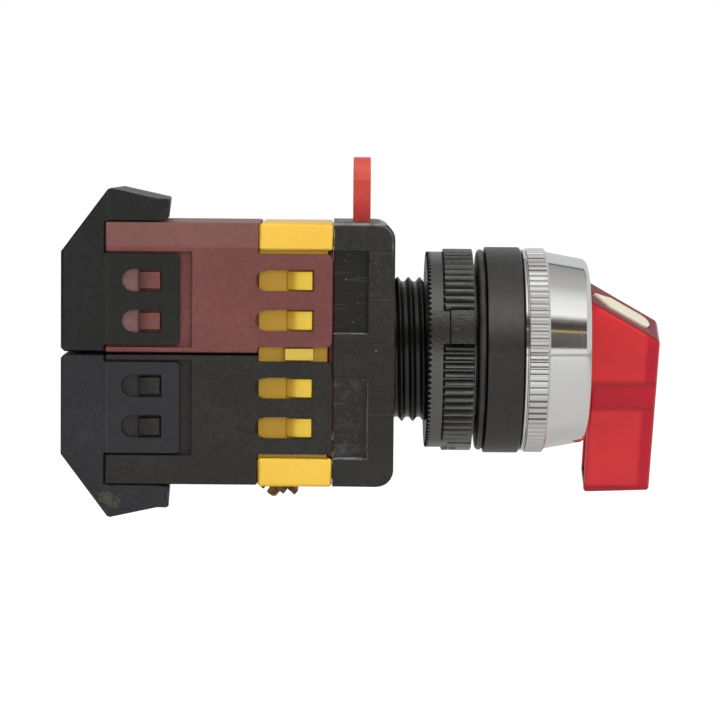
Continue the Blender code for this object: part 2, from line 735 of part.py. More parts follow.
def insert_outline(clearance):
    """Return the pointer's outline on the slope, with a clearance round it."""
    length, _ = slope_frame()
    half = INSERT_WIDTH / 2 + clearance
    start = INSERT_MARGIN / 2 - clearance
    end = length - INSERT_MARGIN + clearance
    bend = arc((end - half, 0.0), half, -90.0, 90.0, 6)
    taper = start + INSERT_POINT
    return [(start, -clearance), (taper, -half)] + bend + [(taper, half), (start, clearance)]


def make_handle():
    """Make the hollow red handle with its disc and shaft, and its cream pointer."""
    inside = DISC_REAR + DISC_THICKNESS / 2
    tail_rear = BEZEL_FRONT + GRIP_TAIL_SETBACK
    web_low = GRIP_WEB_TOP + GRIP_WEB_THICKNESS
    side_view = [
        (inside, GRIP_TOP_HEIGHT),
        (inside, -DISC_RADIUS / 2),
        (tail_rear, -DISC_RADIUS / 2),
        (tail_rear, -GRIP_TAIL),
        (GRIP_FRONT, -GRIP_TAIL),
        (GRIP_FRONT, GRIP_NOSE_HEIGHT),
        (BEZEL_FRONT + FIT, GRIP_TOP_HEIGHT),
    ]
    half = GRIP_WIDTH / 2
    grip = slab_y("selector_handle", [side_view], -half, half, HANDLE_POSE)
    soften(grip, GRIP_EDGE)
    disc = turned(
        "handle_disc",
        [
            (BEZEL_FRONT, 0.0),
            (BEZEL_FRONT, DISC_RADIUS - EDGE_ROUND),
            (BEZEL_FRONT - EDGE_ROUND, DISC_RADIUS),
            (DISC_REAR, DISC_RADIUS),
            (DISC_REAR, SHAFT_RADIUS),
            (CAM_FRONT + FIT, SHAFT_RADIUS),
            (CAM_FRONT + FIT, 0.0),
        ],
        ROUND_STEPS,
        HANDLE_POSE @ ALONG_X,
    )
    join(grip, disc)
    bore_end = BEZEL_FRONT - GRIP_FRONT_WALL / 2
    matrix = HANDLE_POSE @ ALONG_X
    cut(grip, cylinder("shaft_bore", SHAFT_INNER, CAM_FRONT, bore_end, MEDIUM_STEPS, matrix))
    _, turn = slope_frame()
    fall = (GRIP_TOP_HEIGHT - GRIP_NOSE_HEIGHT) / (GRIP_FRONT - BEZEL_FRONT - FIT)
    wall_drop = GRIP_SLOPE_WALL * math.sqrt(1.0 + fall * fall)
    front = GRIP_FRONT - GRIP_FRONT_WALL
    top_x = BEZEL_FRONT + FIT
    roof = [(x, GRIP_TOP_HEIGHT - wall_drop - (x - top_x) * fall) for x in (front, top_x)]
    lamp_space = [
        (inside, -GRIP_WEB_TOP),
        (front, -GRIP_WEB_TOP),
        *roof,
        (inside, SHAFT_INNER),
    ]
    tail_space = rectangle((top_x, front), (-web_low, -GRIP_TAIL + GRIP_TAIL_WALL))
    inner = half - GRIP_SIDE_WALL
    cut(grip, slab_y("lamp_space", [lamp_space], -inner, inner, HANDLE_POSE))
    cut(grip, slab_y("tail_space", [tail_space], -inner, inner, HANDLE_POSE))
    seat_pose = HANDLE_POSE @ turn @ Matrix.Translation((0, 0, EDGE_ROUND))
    cut(grip, plate("pointer_seat", [insert_outline(SEAM)], 2 * INSERT_THICKNESS, seat_pose))
    pose = seat_pose @ Matrix.Translation((0, 0, -INSERT_THICKNESS / 2))
    pointer = plate("pointer_insert", [insert_outline(0.0)], INSERT_THICKNESS - SEAM, pose)
    dress(pointer, CREAM, 0.4)
    dress(grip, RED_CLEAR, 0.12)


def make_seal():
    """Make the O-ring that lies in the spigot's front groove."""
    middle = SPIGOT_RADIUS - SEAL_LIP - SEAM - SEAL_WIRE
    bpy.ops.mesh.primitive_torus_add(
        major_radius=middle,
        minor_radius=SEAL_WIRE,
        major_segments=MEDIUM_STEPS,
        minor_segments=6,
    )
    seal = bpy.context.object
    seal.name = "handle_seal"
    for group in list(seal.users_collection):
        group.objects.unlink(seal)
    PARTS.objects.link(seal)
    height = SPIGOT_FRONT - SEAL_WIRE + SEAM
    seal.matrix_world = Matrix.Translation((height, 0, 0)) @ ALONG_X
    shade(seal.data, ROUND_SHADE_ANGLE)
    dress(seal, RUBBER, 0.5)


def make_cam():
    """Make the cam sleeve with two helical ramps that turn with the handle."""
    profile = [
        (CAM_FRONT + CAM_SPIGOT, CAM_BORE),
        (CAM_FRONT + CAM_SPIGOT, CAM_SPIGOT_RADIUS),
        (CAM_FRONT, CAM_SPIGOT_RADIUS),
        (CAM_FRONT, SLIDER_RADIUS),
        (CAM_REAR, SLIDER_RADIUS),
        (CAM_REAR, CAM_BORE),
    ]
    cam = turned("cam_sleeve", profile, MEDIUM_STEPS)
    radii = (FOLLOWER_BORE + RAMP_INSET, SLIDER_RADIUS - RAMP_INSET)
    root = RAMP_TOP + RAMP_RISE + RAMP_INSET
    for label, start in (("first", RAMP_START), ("second", RAMP_START + 180.0)):
        ramp = helical_block(
            label + "_ramp", radii, (root, RAMP_TOP), start, RAMP_ANGLE, RAMP_RISE, RAMP_STEPS
        )
        join(cam, ramp)
    dress(cam, WHITE_PLASTIC, 0.4)


def make_follower():
    """Make the cam follower with its two noses and two keys, and its return spring."""
    profile = [
        (FOLLOWER_FRONT, FOLLOWER_BORE),
        (FOLLOWER_FRONT, SLIDER_RADIUS),
        (FOLLOWER_REAR, SLIDER_RADIUS),
        (FOLLOWER_REAR, FOLLOWER_COUNTERBORE),
        (SHOULDER_PLACE, FOLLOWER_COUNTERBORE),
        (SHOULDER_PLACE, FOLLOWER_BORE),
    ]
    follower = turned("cam_follower", profile, MEDIUM_STEPS)
    radii = (FOLLOWER_BORE + RAMP_INSET, SLIDER_RADIUS - RAMP_INSET)
    rise = RAMP_RISE * NOSE_ANGLE / RAMP_ANGLE
    top = RAMP_TOP - FIT
    root = FOLLOWER_FRONT - RAMP_INSET
    for label, start in (("first", RAMP_START), ("second", RAMP_START + 180.0)):
        nose = helical_block(
            label + "_nose", radii, (top, root), start, NOSE_ANGLE, rise, NOSE_STEPS
        )
        join(follower, nose)
    key_front = FOLLOWER_FRONT - FIT
    half = KEY_WIDTH / 2
    for label, side in SIDES:
        span = (side * (FOLLOWER_COUNTERBORE + FIT), side * KEY_RADIUS)
        xs = (key_front, key_front - KEY_LENGTH)
        join(follower, block(label + "_key", xs, (-half, half), span))
    dress(follower, WHITE_PLASTIC, 0.4)
    spring = coil(
        "follower_spring",
        FOLLOWER_SPRING_RADIUS,
        FOLLOWER_SPRING_WIRE,
        WELL_FLOOR + SEAM,
        SHOULDER_PLACE - SEAM,
        FOLLOWER_SPRING_TURNS,
    )
    dress(spring, STEEL, 0.3, 1.0)


def rib_outline():
    """Return the locknut's ribbed edge, with blank pads between the groups of ribs."""
    tip = NUT_ROOT_RADIUS + NUT_RIB_HEIGHT
    root = NUT_ROOT_RADIUS - FIT
    pitch = 360.0 / NUT_RIB_COUNT
    spacing = 360.0 / NUT_PAD_COUNT
    points = []
    after_pad = False
    for index in range(NUT_RIB_COUNT):
        low = index * pitch
        middle = low + pitch / 2
        on_pad = abs((middle + spacing / 2) % spacing - spacing / 2) < NUT_PAD_ANGLE / 2
        share = NUT_PAD_SHARE if on_pad else NUT_RIB_SHARE
        if not (on_pad and after_pad):
            points.append(circle(root, 1, turn=NUT_PAD_START + low)[0])
        start = NUT_PAD_START + middle - share * pitch / 2
        points += arc((0, 0), tip, start, start + share * pitch, 1)
        after_pad = on_pad
    return points


def make_locknut():
    """Make the locknut: bosses, ribbed ring with pads and a plain band behind it."""
    band_front = NUT_REAR + NUT_BOSS_LENGTH + NUT_BAND_LENGTH
    rib_front = NUT_FRONT - NUT_BOSS_LENGTH
    band_rear = NUT_REAR + NUT_BOSS_LENGTH
    e = EDGE_ROUND
    profile = [
        (NUT_FRONT, BARREL_HOLE),
        (NUT_FRONT, NUT_BOSS_RADIUS),
        (rib_front, NUT_BOSS_RADIUS),
        (rib_front, NUT_ROOT_RADIUS),
        (band_front, NUT_ROOT_RADIUS),
        (band_front, NUT_BAND_RADIUS),
        (band_rear + e, NUT_BAND_RADIUS),
        (band_rear, NUT_BAND_RADIUS - e),
        (band_rear, NUT_BOSS_RADIUS),
        (NUT_REAR, NUT_BOSS_RADIUS - e),
        (NUT_REAR, BARREL_HOLE),
    ]
    nut = turned("locknut", profile)
    hole = circle(NUT_BOSS_RADIUS + FIT, MEDIUM_STEPS)
    ribs = slab_x("nut_ribs", [rib_outline(), hole], band_front + FIT / 2, rib_front - FIT / 2)
    join(nut, ribs)
    dress(nut, BLACK_PLASTIC, 0.42)


def lever_slot_outline():
    """Return the outline that the lever sweeps between locked and free, with clearance."""
    half = LEVER_WIDTH / 2 + FIT
    angle = math.radians(LOCK_THROW)
    along = Vector((math.sin(angle), math.cos(angle)))
    across = Vector((math.cos(angle), -math.sin(angle)))
    low = LOCK_RADIUS / 2
    high = LEVER_TOP
    swept = [tuple(along * reach + across * half) for reach in (high, low)]
    return [(-half, low), (-half, high), *swept]


def peg_places():
    """Return the lamp block's three pegs; the lever's slot takes the fourth corner."""
    corners = (("upper", -1.0, 1.0), ("lower_near", -1.0, -1.0), ("lower_far", 1.0, -1.0))
    return [(f"{name}_peg", y * PEG_DEPTH_PLACE, z * PEG_HEIGHT_PLACE) for name, y, z in corners]


def make_base():
    """Make the base holder, with the lock ring's chamber and the lever's slot."""
    c = BASE_CORNER
    h = BASE_HALF_HEIGHT
    side_view = [(BASE_REAR, -h)]
    side_view += arc((BASE_FRONT - c, -h + c), c, -90.0, 0.0, CORNER_STEPS)
    side_view += arc((BASE_FRONT - c, h - c), c, 0.0, 90.0, CORNER_STEPS)
    side_view += [(BASE_REAR, h)]
    base = slab_y("base_holder", [side_view], -HALF_DEPTH, HALF_DEPTH)
    soften(base, EDGE_ROUND)
    chamber_front = LOCK_FRONT + FIT
    behind = BASE_REAR - FIT
    stepped_bore = [
        (BASE_FRONT + FIT, 0.0),
        (BASE_FRONT + FIT, BARREL_HOLE),
        (chamber_front, BARREL_HOLE),
        (chamber_front, LOCK_RADIUS + FIT),
        (behind, LOCK_RADIUS + FIT),
        (behind, 0.0),
    ]
    cut(base, turned("lock_chamber", stepped_bore))
    cut(base, slab_x("lever_slot", [lever_slot_outline()], behind - FIT, chamber_front - SEAM / 2))
    for label, side in SIDES:
        for face_label, face in FACES:
            name = f"{label}_{face_label}"
            outline = mirrored(
                [
                    (behind, BASE_RECESS_LOW),
                    (BASE_REAR + BASE_RECESS_LENGTH, BASE_RECESS_LOW),
                    (BASE_REAR + BASE_RECESS_LENGTH, BASE_RECESS_HIGH),
                    (behind, BASE_RECESS_HIGH),
                ],
                side,
            )
            span = sorted((face * (HALF_DEPTH - BASE_RECESS_DEPTH), face * (HALF_DEPTH + FIT)))
            cut(base, slab_y(name + "_recess", [outline], *span))
    for name, y, z in peg_places():
        place = Matrix.Translation((0.0, y, z)) @ ALONG_X
        end = LAMP_FRONT + PEG_LENGTH + FIT
        cut(base, cylinder(name + "_hole", PEG_RADIUS + FIT, behind, end, SMALL_STEPS, place))
    dress(base, BLACK_PLASTIC, 0.40)


def make_lock_ring():
    """Make the red lock ring with its lever and two inner lugs."""
    half = LEVER_WIDTH / 2
    root = math.degrees(math.asin(half / LOCK_RADIUS))
    outline = arc((0, 0), LOCK_RADIUS, 90.0 + root, 450.0 - root, ROUND_STEPS)
    outline += arc((0.0, LEVER_TOP - half), half, 0.0, 180.0, 8)
    bore = []
    spread = LOCK_LUG_ANGLE / 2
    lug_radius = GROOVE_RADIUS + FIT
    for middle in (0.0, 180.0):
        bore += arc((0, 0), lug_radius, middle - spread, middle + spread)
        bore += arc((0, 0), BARREL_HOLE, middle + spread, middle + 180.0 - spread, SMALL_STEPS)
    ring = slab_x("lock_ring", [outline, bore], LOCK_REAR, LOCK_FRONT)
    dress(ring, RED_LEVER, 0.38)


def make_retainer():
    """Make the red plate that holds the lock ring in the base."""
    depth = RETAINER_HALF_DEPTH
    height = RETAINER_HALF_HEIGHT
    outline = rectangle((-depth, depth), (-height, height))
    hole = circle(RETAINER_BORE_RADIUS, MEDIUM_STEPS)
    retainer = slab_x("lock_retainer", [outline, hole], RETAINER_REAR, RETAINER_FRONT)
    inner = THREAD_RADIUS + 2 * FIT
    outer = RETAINER_COLLAR_OUTER - FIT
    middle = (RETAINER_FRONT + RETAINER_REAR) / 2
    profile = [(LOCK_REAR - FIT, inner), (LOCK_REAR - FIT, outer), (middle, outer), (middle, inner)]
    join(retainer, turned("retainer_collar", profile, MEDIUM_STEPS))
    dress(retainer, RED_LEVER, 0.38)


def hook_outline(face):
    """Return a snap hook in the (X, Y) plane: a ramp from behind, then a flat top."""
    start = LAMP_FRONT - LUG_TIP - SEAM
    root = CORE_HALF_DEPTH - FIT
    top = CORE_HALF_DEPTH + HOOK_RISE
    points = [
        (start, root),
        (start, top),
        (start - HOOK_FLAT, top),
        (start - HOOK_LENGTH, CORE_HALF_DEPTH + HOOK_RISE / 4),
        (start - HOOK_LENGTH, root),
    ]
    return [(x, y * face) for x, y in points]


def lamp_slant():
    """Return the lamp screws' head centre, outward direction and downward run in (X, Z)."""
    angle = math.radians(LAMP_SCREW_TILT)
    out = Vector((-math.cos(angle), -math.sin(angle)))
    run = Vector((math.sin(angle), -math.cos(angle)))
    return Vector((LAMP_SCREW_X, LAMP_SCREW_Z)), out, run


def lamp_depths():
    """Return how far the clamp and the strip lie behind the face of the lamp screw's head."""
    clamp = LAMP_HEAD_HEIGHT + SEAM
    strip = clamp + METAL_THICKNESS + SEAM
    return clamp, strip


def make_lamp_block():
    """Make the yellow lamp block with its pads, hooks, bores and terminal pocket."""
    xs = (LAMP_FRONT, LAMP_REAR)
    core_depth = (-CORE_HALF_DEPTH, CORE_HALF_DEPTH)
    core_height = LAMP_BLOCK_HALF_HEIGHT - HOUSING_WALL
    lamp = block("lamp_block", xs, core_depth, (-core_height, core_height))
    for label, side in SIDES:
        span = (side * PAD_LOW, side * LAMP_BLOCK_HALF_HEIGHT)
        xs_pad = (LAMP_FRONT + PAD_LEAD, LAMP_REAR)
        pad = block(label + "_pad", xs_pad, (-HALF_DEPTH, HALF_DEPTH), span)
        join(lamp, soften(pad, EDGE_ROUND))
    rib_front = LAMP_FRONT - LUG_TIP
    rib = block(
        "middle_rib",
        (rib_front, rib_front - RIB_LENGTH),
        (-HALF_DEPTH + SEAM, HALF_DEPTH - SEAM),
        (-RIB_HALF_HEIGHT, RIB_HALF_HEIGHT),
    )
    join(lamp, rib)
    half = LUG_WINDOW_HEIGHT / 2 - SEAM
    for label, side in SIDES:
        for face_label, face in FACES:
            for place_label, place in (("low", -0.5), ("high", 0.5)):
                middle = side * (LUG_LOW + LUG_HIGH + 2 * place * LUG_WINDOW_SPACING) / 2
                name = f"{label}_{face_label}_{place_label}_hook"
                outline = hook_outline(face)
                join(lamp, slab_z(name, [outline], middle - half, middle + half))
    for name, y, z in peg_places():
        place = Matrix.Translation((0.0, y, z)) @ ALONG_X
        end = LAMP_FRONT + PEG_LENGTH
        join(lamp, cylinder(name, PEG_RADIUS, LAMP_FRONT - FIT, end, SMALL_STEPS, place))
    stem = LAMP_CONTACT_STEM + SEAM
    stepped_bore = [
        (LAMP_FRONT + FIT, 0.0),
        (LAMP_FRONT + FIT, WELL_RADIUS),
        (WELL_FLOOR, WELL_RADIUS),
        (WELL_FLOOR, SOCKET_BORE),
        (SOCKET_REAR - SEAM, SOCKET_BORE),
        (SOCKET_REAR - SEAM, stem),
        (LAMP_REAR - FIT, stem),
        (LAMP_REAR - FIT, 0.0),
    ]
    cut(lamp, turned("lamp_bore", stepped_bore, MEDIUM_STEPS))
    channel = PLUNGER_SIZE / 2 + FIT
    for label, side in SIDES:
        middle = side * PLUNGER_OFFSET
        span = (middle - channel, middle + channel)
        xs_channel = (LAMP_REAR - FIT, LAMP_FRONT + FIT)
        cut(lamp, block(label + "_channel", xs_channel, (-channel, channel), span))
    head, out, run = lamp_slant()
    _, strip_depth = lamp_depths()
    ceiling = head - out * (strip_depth + METAL_THICKNESS + SEAM)
    slope = run.y / run.x
    rear = LAMP_REAR - FIT
    floor = -LAMP_BLOCK_HALF_HEIGHT - FIT
    pocket = [
        (rear, floor),
        (rear, ceiling.y + (rear - ceiling.x) * slope),
        (ceiling.x + (floor - ceiling.y) / slope, floor),
    ]
    half = LAMP_SCREW_PLACE + LAMP_STRIP_WIDTH / 2 + FIT
    cut(lamp, slab_y("terminal_pocket", [pocket], -half, half))
    for face_label, face in FACES:
        middle = face * LAMP_SCREW_PLACE
        leg = lamp_strip_points()[2]
        gap = METAL_THICKNESS / 2 + SEAM
        half = LAMP_STRIP_WIDTH / 2 + SEAM
        xs_leg = (leg[0] - gap, leg[0] + gap)
        zs_leg = (leg[1] - METAL_THICKNESS, leg[1] + LAMP_STRIP_LEG + SEAM)
        ys_leg = (middle - half, middle + half)
        cut(lamp, block(face_label + "_leg_slot", xs_leg, ys_leg, zs_leg))
        turn = facing((-out.x, 0.0, -out.y), (head.x, middle, head.y))
        depth = LAMP_SHANK_LENGTH + SEAM
        shank = LAMP_SHANK_RADIUS + SEAM
        cut(lamp, cylinder(face_label + "_lamp_hole", shank, strip_depth, depth, SMALL_STEPS, turn))
    dress(lamp, YELLOW_PLASTIC, 0.38)


def bent_strip(points, thickness):
    """Return the outline of a strip that follows a line of (X, Z) or (X, Y) points."""
    half = thickness / 2
    lines = [Vector(point) for point in points]
    outlines = ([], [])
    for index, point in enumerate(lines):
        before = (point - lines[index - 1]).normalized() if index else None
        after = (lines[index + 1] - point).normalized() if index + 1 < len(lines) else None
        first = before if before is not None else after
        second = after if after is not None else before
        normals = [Vector((-line.y, line.x)) for line in (first, second)]
        middle = (normals[0] + normals[1]).normalized()
        reach = half / middle.dot(normals[0])
        outlines[0].append(tuple(point + middle * reach))
        outlines[1].append(tuple(point - middle * reach))
    return outlines[0] + outlines[1][::-1]


def lamp_strip_points():
    """Return the middle line of a lamp terminal: slanted tail, bend and upright leg."""
    head, out, run = lamp_slant()
    _, depth = lamp_depths()
    middle = head - out * (depth + METAL_THICKNESS / 2)
    tail = middle + run * LAMP_STRIP_TAIL
    bend = middle - run * LAMP_STRIP_HEAD
    return [tuple(tail), tuple(middle), tuple(bend), (bend.x, bend.y + LAMP_STRIP_LEG)]


def make_screw(name, radius, height, shank, length, matrix):
    """Make a slotted screw whose head's face is at height zero and whose shank points up."""
    e = EDGE_ROUND
    profile = [
        (length, 0.0),
        (length, shank),
        (height, shank),
        (height, radius),
        (e, radius),
        (0.0, radius - e),
        (0.0, 0.0),
    ]
    screw = turned(name, profile, SMALL_STEPS, matrix)
    half = SLOT_WIDTH / 2
    reach = radius + FIT
    slot = block(name + "_slot", (-half, half), (-reach, reach), (-FIT, SLOT_DEPTH), matrix)
    cut(screw, slot)
    return dress(screw, BRASS, 0.3, 1.0)


def make_lamp_terminals():
    """Make the two slanted lamp terminals under the lamp block."""
    head, out, _ = lamp_slant()
    clamp_depth, strip_depth = lamp_depths()
    line = lamp_strip_points()
    outline = bent_strip([line[0], line[2], line[3]], METAL_THICKNESS)
    hole = LAMP_SHANK_RADIUS + FIT
    for face_label, face in FACES:
        middle = face * LAMP_SCREW_PLACE
        turn = facing((-out.x, 0.0, -out.y), (head.x, middle, head.y))
        half = LAMP_STRIP_WIDTH / 2
        strip = slab_y(face_label + "_lamp_terminal", [outline], middle - half, middle + half)
        end = strip_depth + 2 * METAL_THICKNESS
        name = face_label + "_strip_hole"
        cut(strip, cylinder(name, hole, clamp_depth, end, SMALL_STEPS, turn))
        dress(strip, BRASS, 0.3, 1.0)
        size = LAMP_CLAMP_SIZE / 2
        lift = Matrix.Translation((0, 0, clamp_depth + METAL_THICKNESS / 2))
        clamp = plate(
            face_label + "_lamp_clamp",
            [rectangle((-size, size), (-size, size)), circle(hole, SMALL_STEPS)],
            METAL_THICKNESS,
            turn @ lift,
        )
        dress(clamp, BRASS, 0.3, 1.0)
        make_screw(
            face_label + "_lamp_screw",
            LAMP_HEAD_RADIUS,
            LAMP_HEAD_HEIGHT,
            LAMP_SHANK_RADIUS,
            LAMP_SHANK_LENGTH,
            turn,
        )


def make_lamp():
    """Make the bulb, its socket shell and the centre contact."""
    dome = arc((BULB_FRONT - BULB_RADIUS, 0.0), BULB_RADIUS, 0.0, 90.0, 5)
    profile = dome + [
        (BULB_CAP_FRONT, BULB_RADIUS),
        (BULB_CAP_FRONT, BULB_CAP_RADIUS),
        (BULB_CAP_REAR, BULB_CAP_RADIUS),
        (BULB_CAP_REAR, BULB_TIP_RADIUS),
        (BULB_REAR, BULB_TIP_RADIUS / 2),
        (BULB_REAR, 0.0),
    ]
    profile[0] = (BULB_FRONT, 0.0)
    dress(turned("lamp_bulb", profile, MEDIUM_STEPS), CLEAR_GLASS, 0.05)
    hole = LAMP_CONTACT_STEM + FIT
    floor = SOCKET_REAR + SOCKET_FLOOR
    shell = [
        (SOCKET_FRONT, SOCKET_INNER),
        (SOCKET_FRONT, SOCKET_RADIUS),
        (SOCKET_REAR, SOCKET_RADIUS),
        (SOCKET_REAR, hole),
        (floor, hole),
        (floor, SOCKET_INNER),
    ]
    dress(turned("lamp_socket", shell, MEDIUM_STEPS), BRASS, 0.3, 1.0)
    pin = [
        (LAMP_CONTACT_FRONT, 0.0),
        (LAMP_CONTACT_FRONT, LAMP_CONTACT_RADIUS),
        (LAMP_CONTACT_SHOULDER, LAMP_CONTACT_RADIUS),
        (LAMP_CONTACT_SHOULDER, LAMP_CONTACT_STEM),
        (LAMP_REAR + FIT, LAMP_CONTACT_STEM),
        (LAMP_REAR + FIT, 0.0),
    ]
    dress(turned("lamp_contact", pin, SMALL_STEPS), BRASS, 0.3, 1.0)


def lug_windows():
    """Return the two snap windows of an upper lug."""
    start = HOUSING_FRONT - LUG_WINDOW_LEAD
    end = LAMP_FRONT - LUG_TIP
    middle = (LUG_LOW + LUG_HIGH) / 2
    half = LUG_WINDOW_SPACING / 2
    return [round_start_slot(start, end, middle + place, LUG_WINDOW_HEIGHT) for place in (-half, half)]


def make_housing(label, side, colour):
    """Make one contact block's housing with its lugs, tongue pockets and hooks."""
    outer = (-HALF_DEPTH, HALF_DEPTH)
    zs = (side * HOUSING_SPLIT, side * HOUSING_TOP)
    housing = block(label + "_housing", (HOUSING_REAR, HOUSING_FRONT), outer, zs)
    soften(housing, EDGE_ROUND / 2)
    c = LUG_CORNER
    behind = HOUSING_FRONT - FRONT_PLATE_THICKNESS
    front = LAMP_FRONT
    outline = [(behind, LUG_LOW)]
    outline += arc((front - c, LUG_LOW + c), c, -90.0, 0.0)
    outline += arc((front - c, LUG_HIGH - c), c, 0.0, 90.0)
    outline += [(behind, LUG_HIGH)]
    for face_label, face in FACES:
        name = f"{label}_{face_label}"
        span = sorted((face * LUG_INNER, face * (HALF_DEPTH - SEAM / 4)))
        join(housing, slab_y(name + "_lug", [mirrored(outline, side)], *span))
        span = sorted((face * (LUG_INNER - FIT), face * (HALF_DEPTH + FIT)))
        for place_label, window in zip(("low", "high"), lug_windows()):
            cut(housing, slab_y(f"{name}_{place_label}_window", [mirrored(window, side)], *span))
    inner = (-CAVITY_HALF_DEPTH, CAVITY_HALF_DEPTH)
    zs_inner = (side * (HOUSING_SPLIT + HOUSING_WALL), side * (HOUSING_TOP - HOUSING_WALL))
    cut(housing, block(label + "_cavity", (PARTITION_FRONT, HOUSING_FRONT + FIT), inner, zs_inner))
    zs_rear = (side * (HOUSING_SPLIT + HOUSING_WALL), side * (HOUSING_TOP + FIT))
    cut(housing, block(label + "_rear_bay", (HOUSING_REAR - FIT, PARTITION_REAR), inner, zs_rear))
    pocket_low = side * (TONGUE_LOW - POCKET_MARGIN)
    pocket_high = side * (TONGUE_HIGH + POCKET_MARGIN)
    pocket_front = COVER_FACE + TONGUE_LENGTH + POCKET_END
    hook_rear = COVER_FACE + TONGUE_WINDOW_START + TONGUE_WINDOW_LENGTH - SEAM - COVER_HOOK_LENGTH
    for face_label, face in FACES:
        ys = (face * POCKET_FLOOR, face * (HALF_DEPTH + FIT))
        name = f"{label}_{face_label}"
        xs = (HOUSING_REAR - FIT, pocket_front)
        cut(housing, block(name + "_pocket", xs, ys, (pocket_low, pocket_high)))
        ys = (face * (POCKET_FLOOR - FIT), face * (HALF_DEPTH - SEAM))
        xs = (hook_rear, hook_rear + COVER_HOOK_LENGTH)
        half = COVER_HOOK_HEIGHT / 2
        for level_label, level in (("low", TONGUE_WINDOW_LOW), ("high", TONGUE_WINDOW_HIGH)):
            zs_hook = (side * level - half, side * level + half)
            join(housing, block(f"{name}_{level_label}_catch", xs, ys, zs_hook))
        slit = METAL_THICKNESS / 2 + SEAM
        line = STRIP_OUTER - METAL_THICKNESS / 2
        ys = (face * (line - slit), face * (line + slit))
        half = TERMINAL_WIDTH / 2 + SEAM
        zs_slit = (side * TERMINAL_OFFSET - half, side * TERMINAL_OFFSET + half)
        xs = (PARTITION_REAR - FIT, PARTITION_FRONT + FIT)
        cut(housing, block(name + "_slit", xs, ys, zs_slit))
        place = (0.0, face * TERMINAL_SCREW_PLACE, side * TERMINAL_OFFSET)
        hole = cylinder(
            name + "_screw_hole",
            TERMINAL_SHANK_RADIUS + FIT,
            PARTITION_REAR - FIT,
            PARTITION_FRONT + FIT,
            SMALL_STEPS,
            Matrix.Translation(place) @ ALONG_X,
        )
        cut(housing, hole)
    half = BARRIER_THICKNESS / 2
    xs = (HOUSING_REAR - BARRIER_REACH, PARTITION_REAR + FIT)
    top = side * (COVER_SHOULDER - COVER_WALL)
    low = side * (COVER_LOW + COVER_WALL + FIT)
    join(housing, block(label + "_barrier", xs, (-half, half), (low, top)))
    dress(housing, colour, 0.42)


def make_front_plate(label, side, colour):
    """Make the plate that closes a contact block's front and guides its plunger."""
    gap = SEAM
    ys = (-CAVITY_HALF_DEPTH + gap, CAVITY_HALF_DEPTH - gap)
    low = HOUSING_SPLIT + HOUSING_WALL + gap
    high = HOUSING_TOP - HOUSING_WALL - gap
    half = PLUNGER_SIZE / 2 + FIT
    middle = side * PLUNGER_OFFSET
    hole = rectangle((-half, half), (middle - half, middle + half))
    xs = (HOUSING_FRONT - FRONT_PLATE_THICKNESS, HOUSING_FRONT)
    outline = rectangle(ys, (side * low, side * high))
    cover = slab_x(label + "_front_plate", [outline, hole], *xs)
    dress(cover, colour, 0.42)


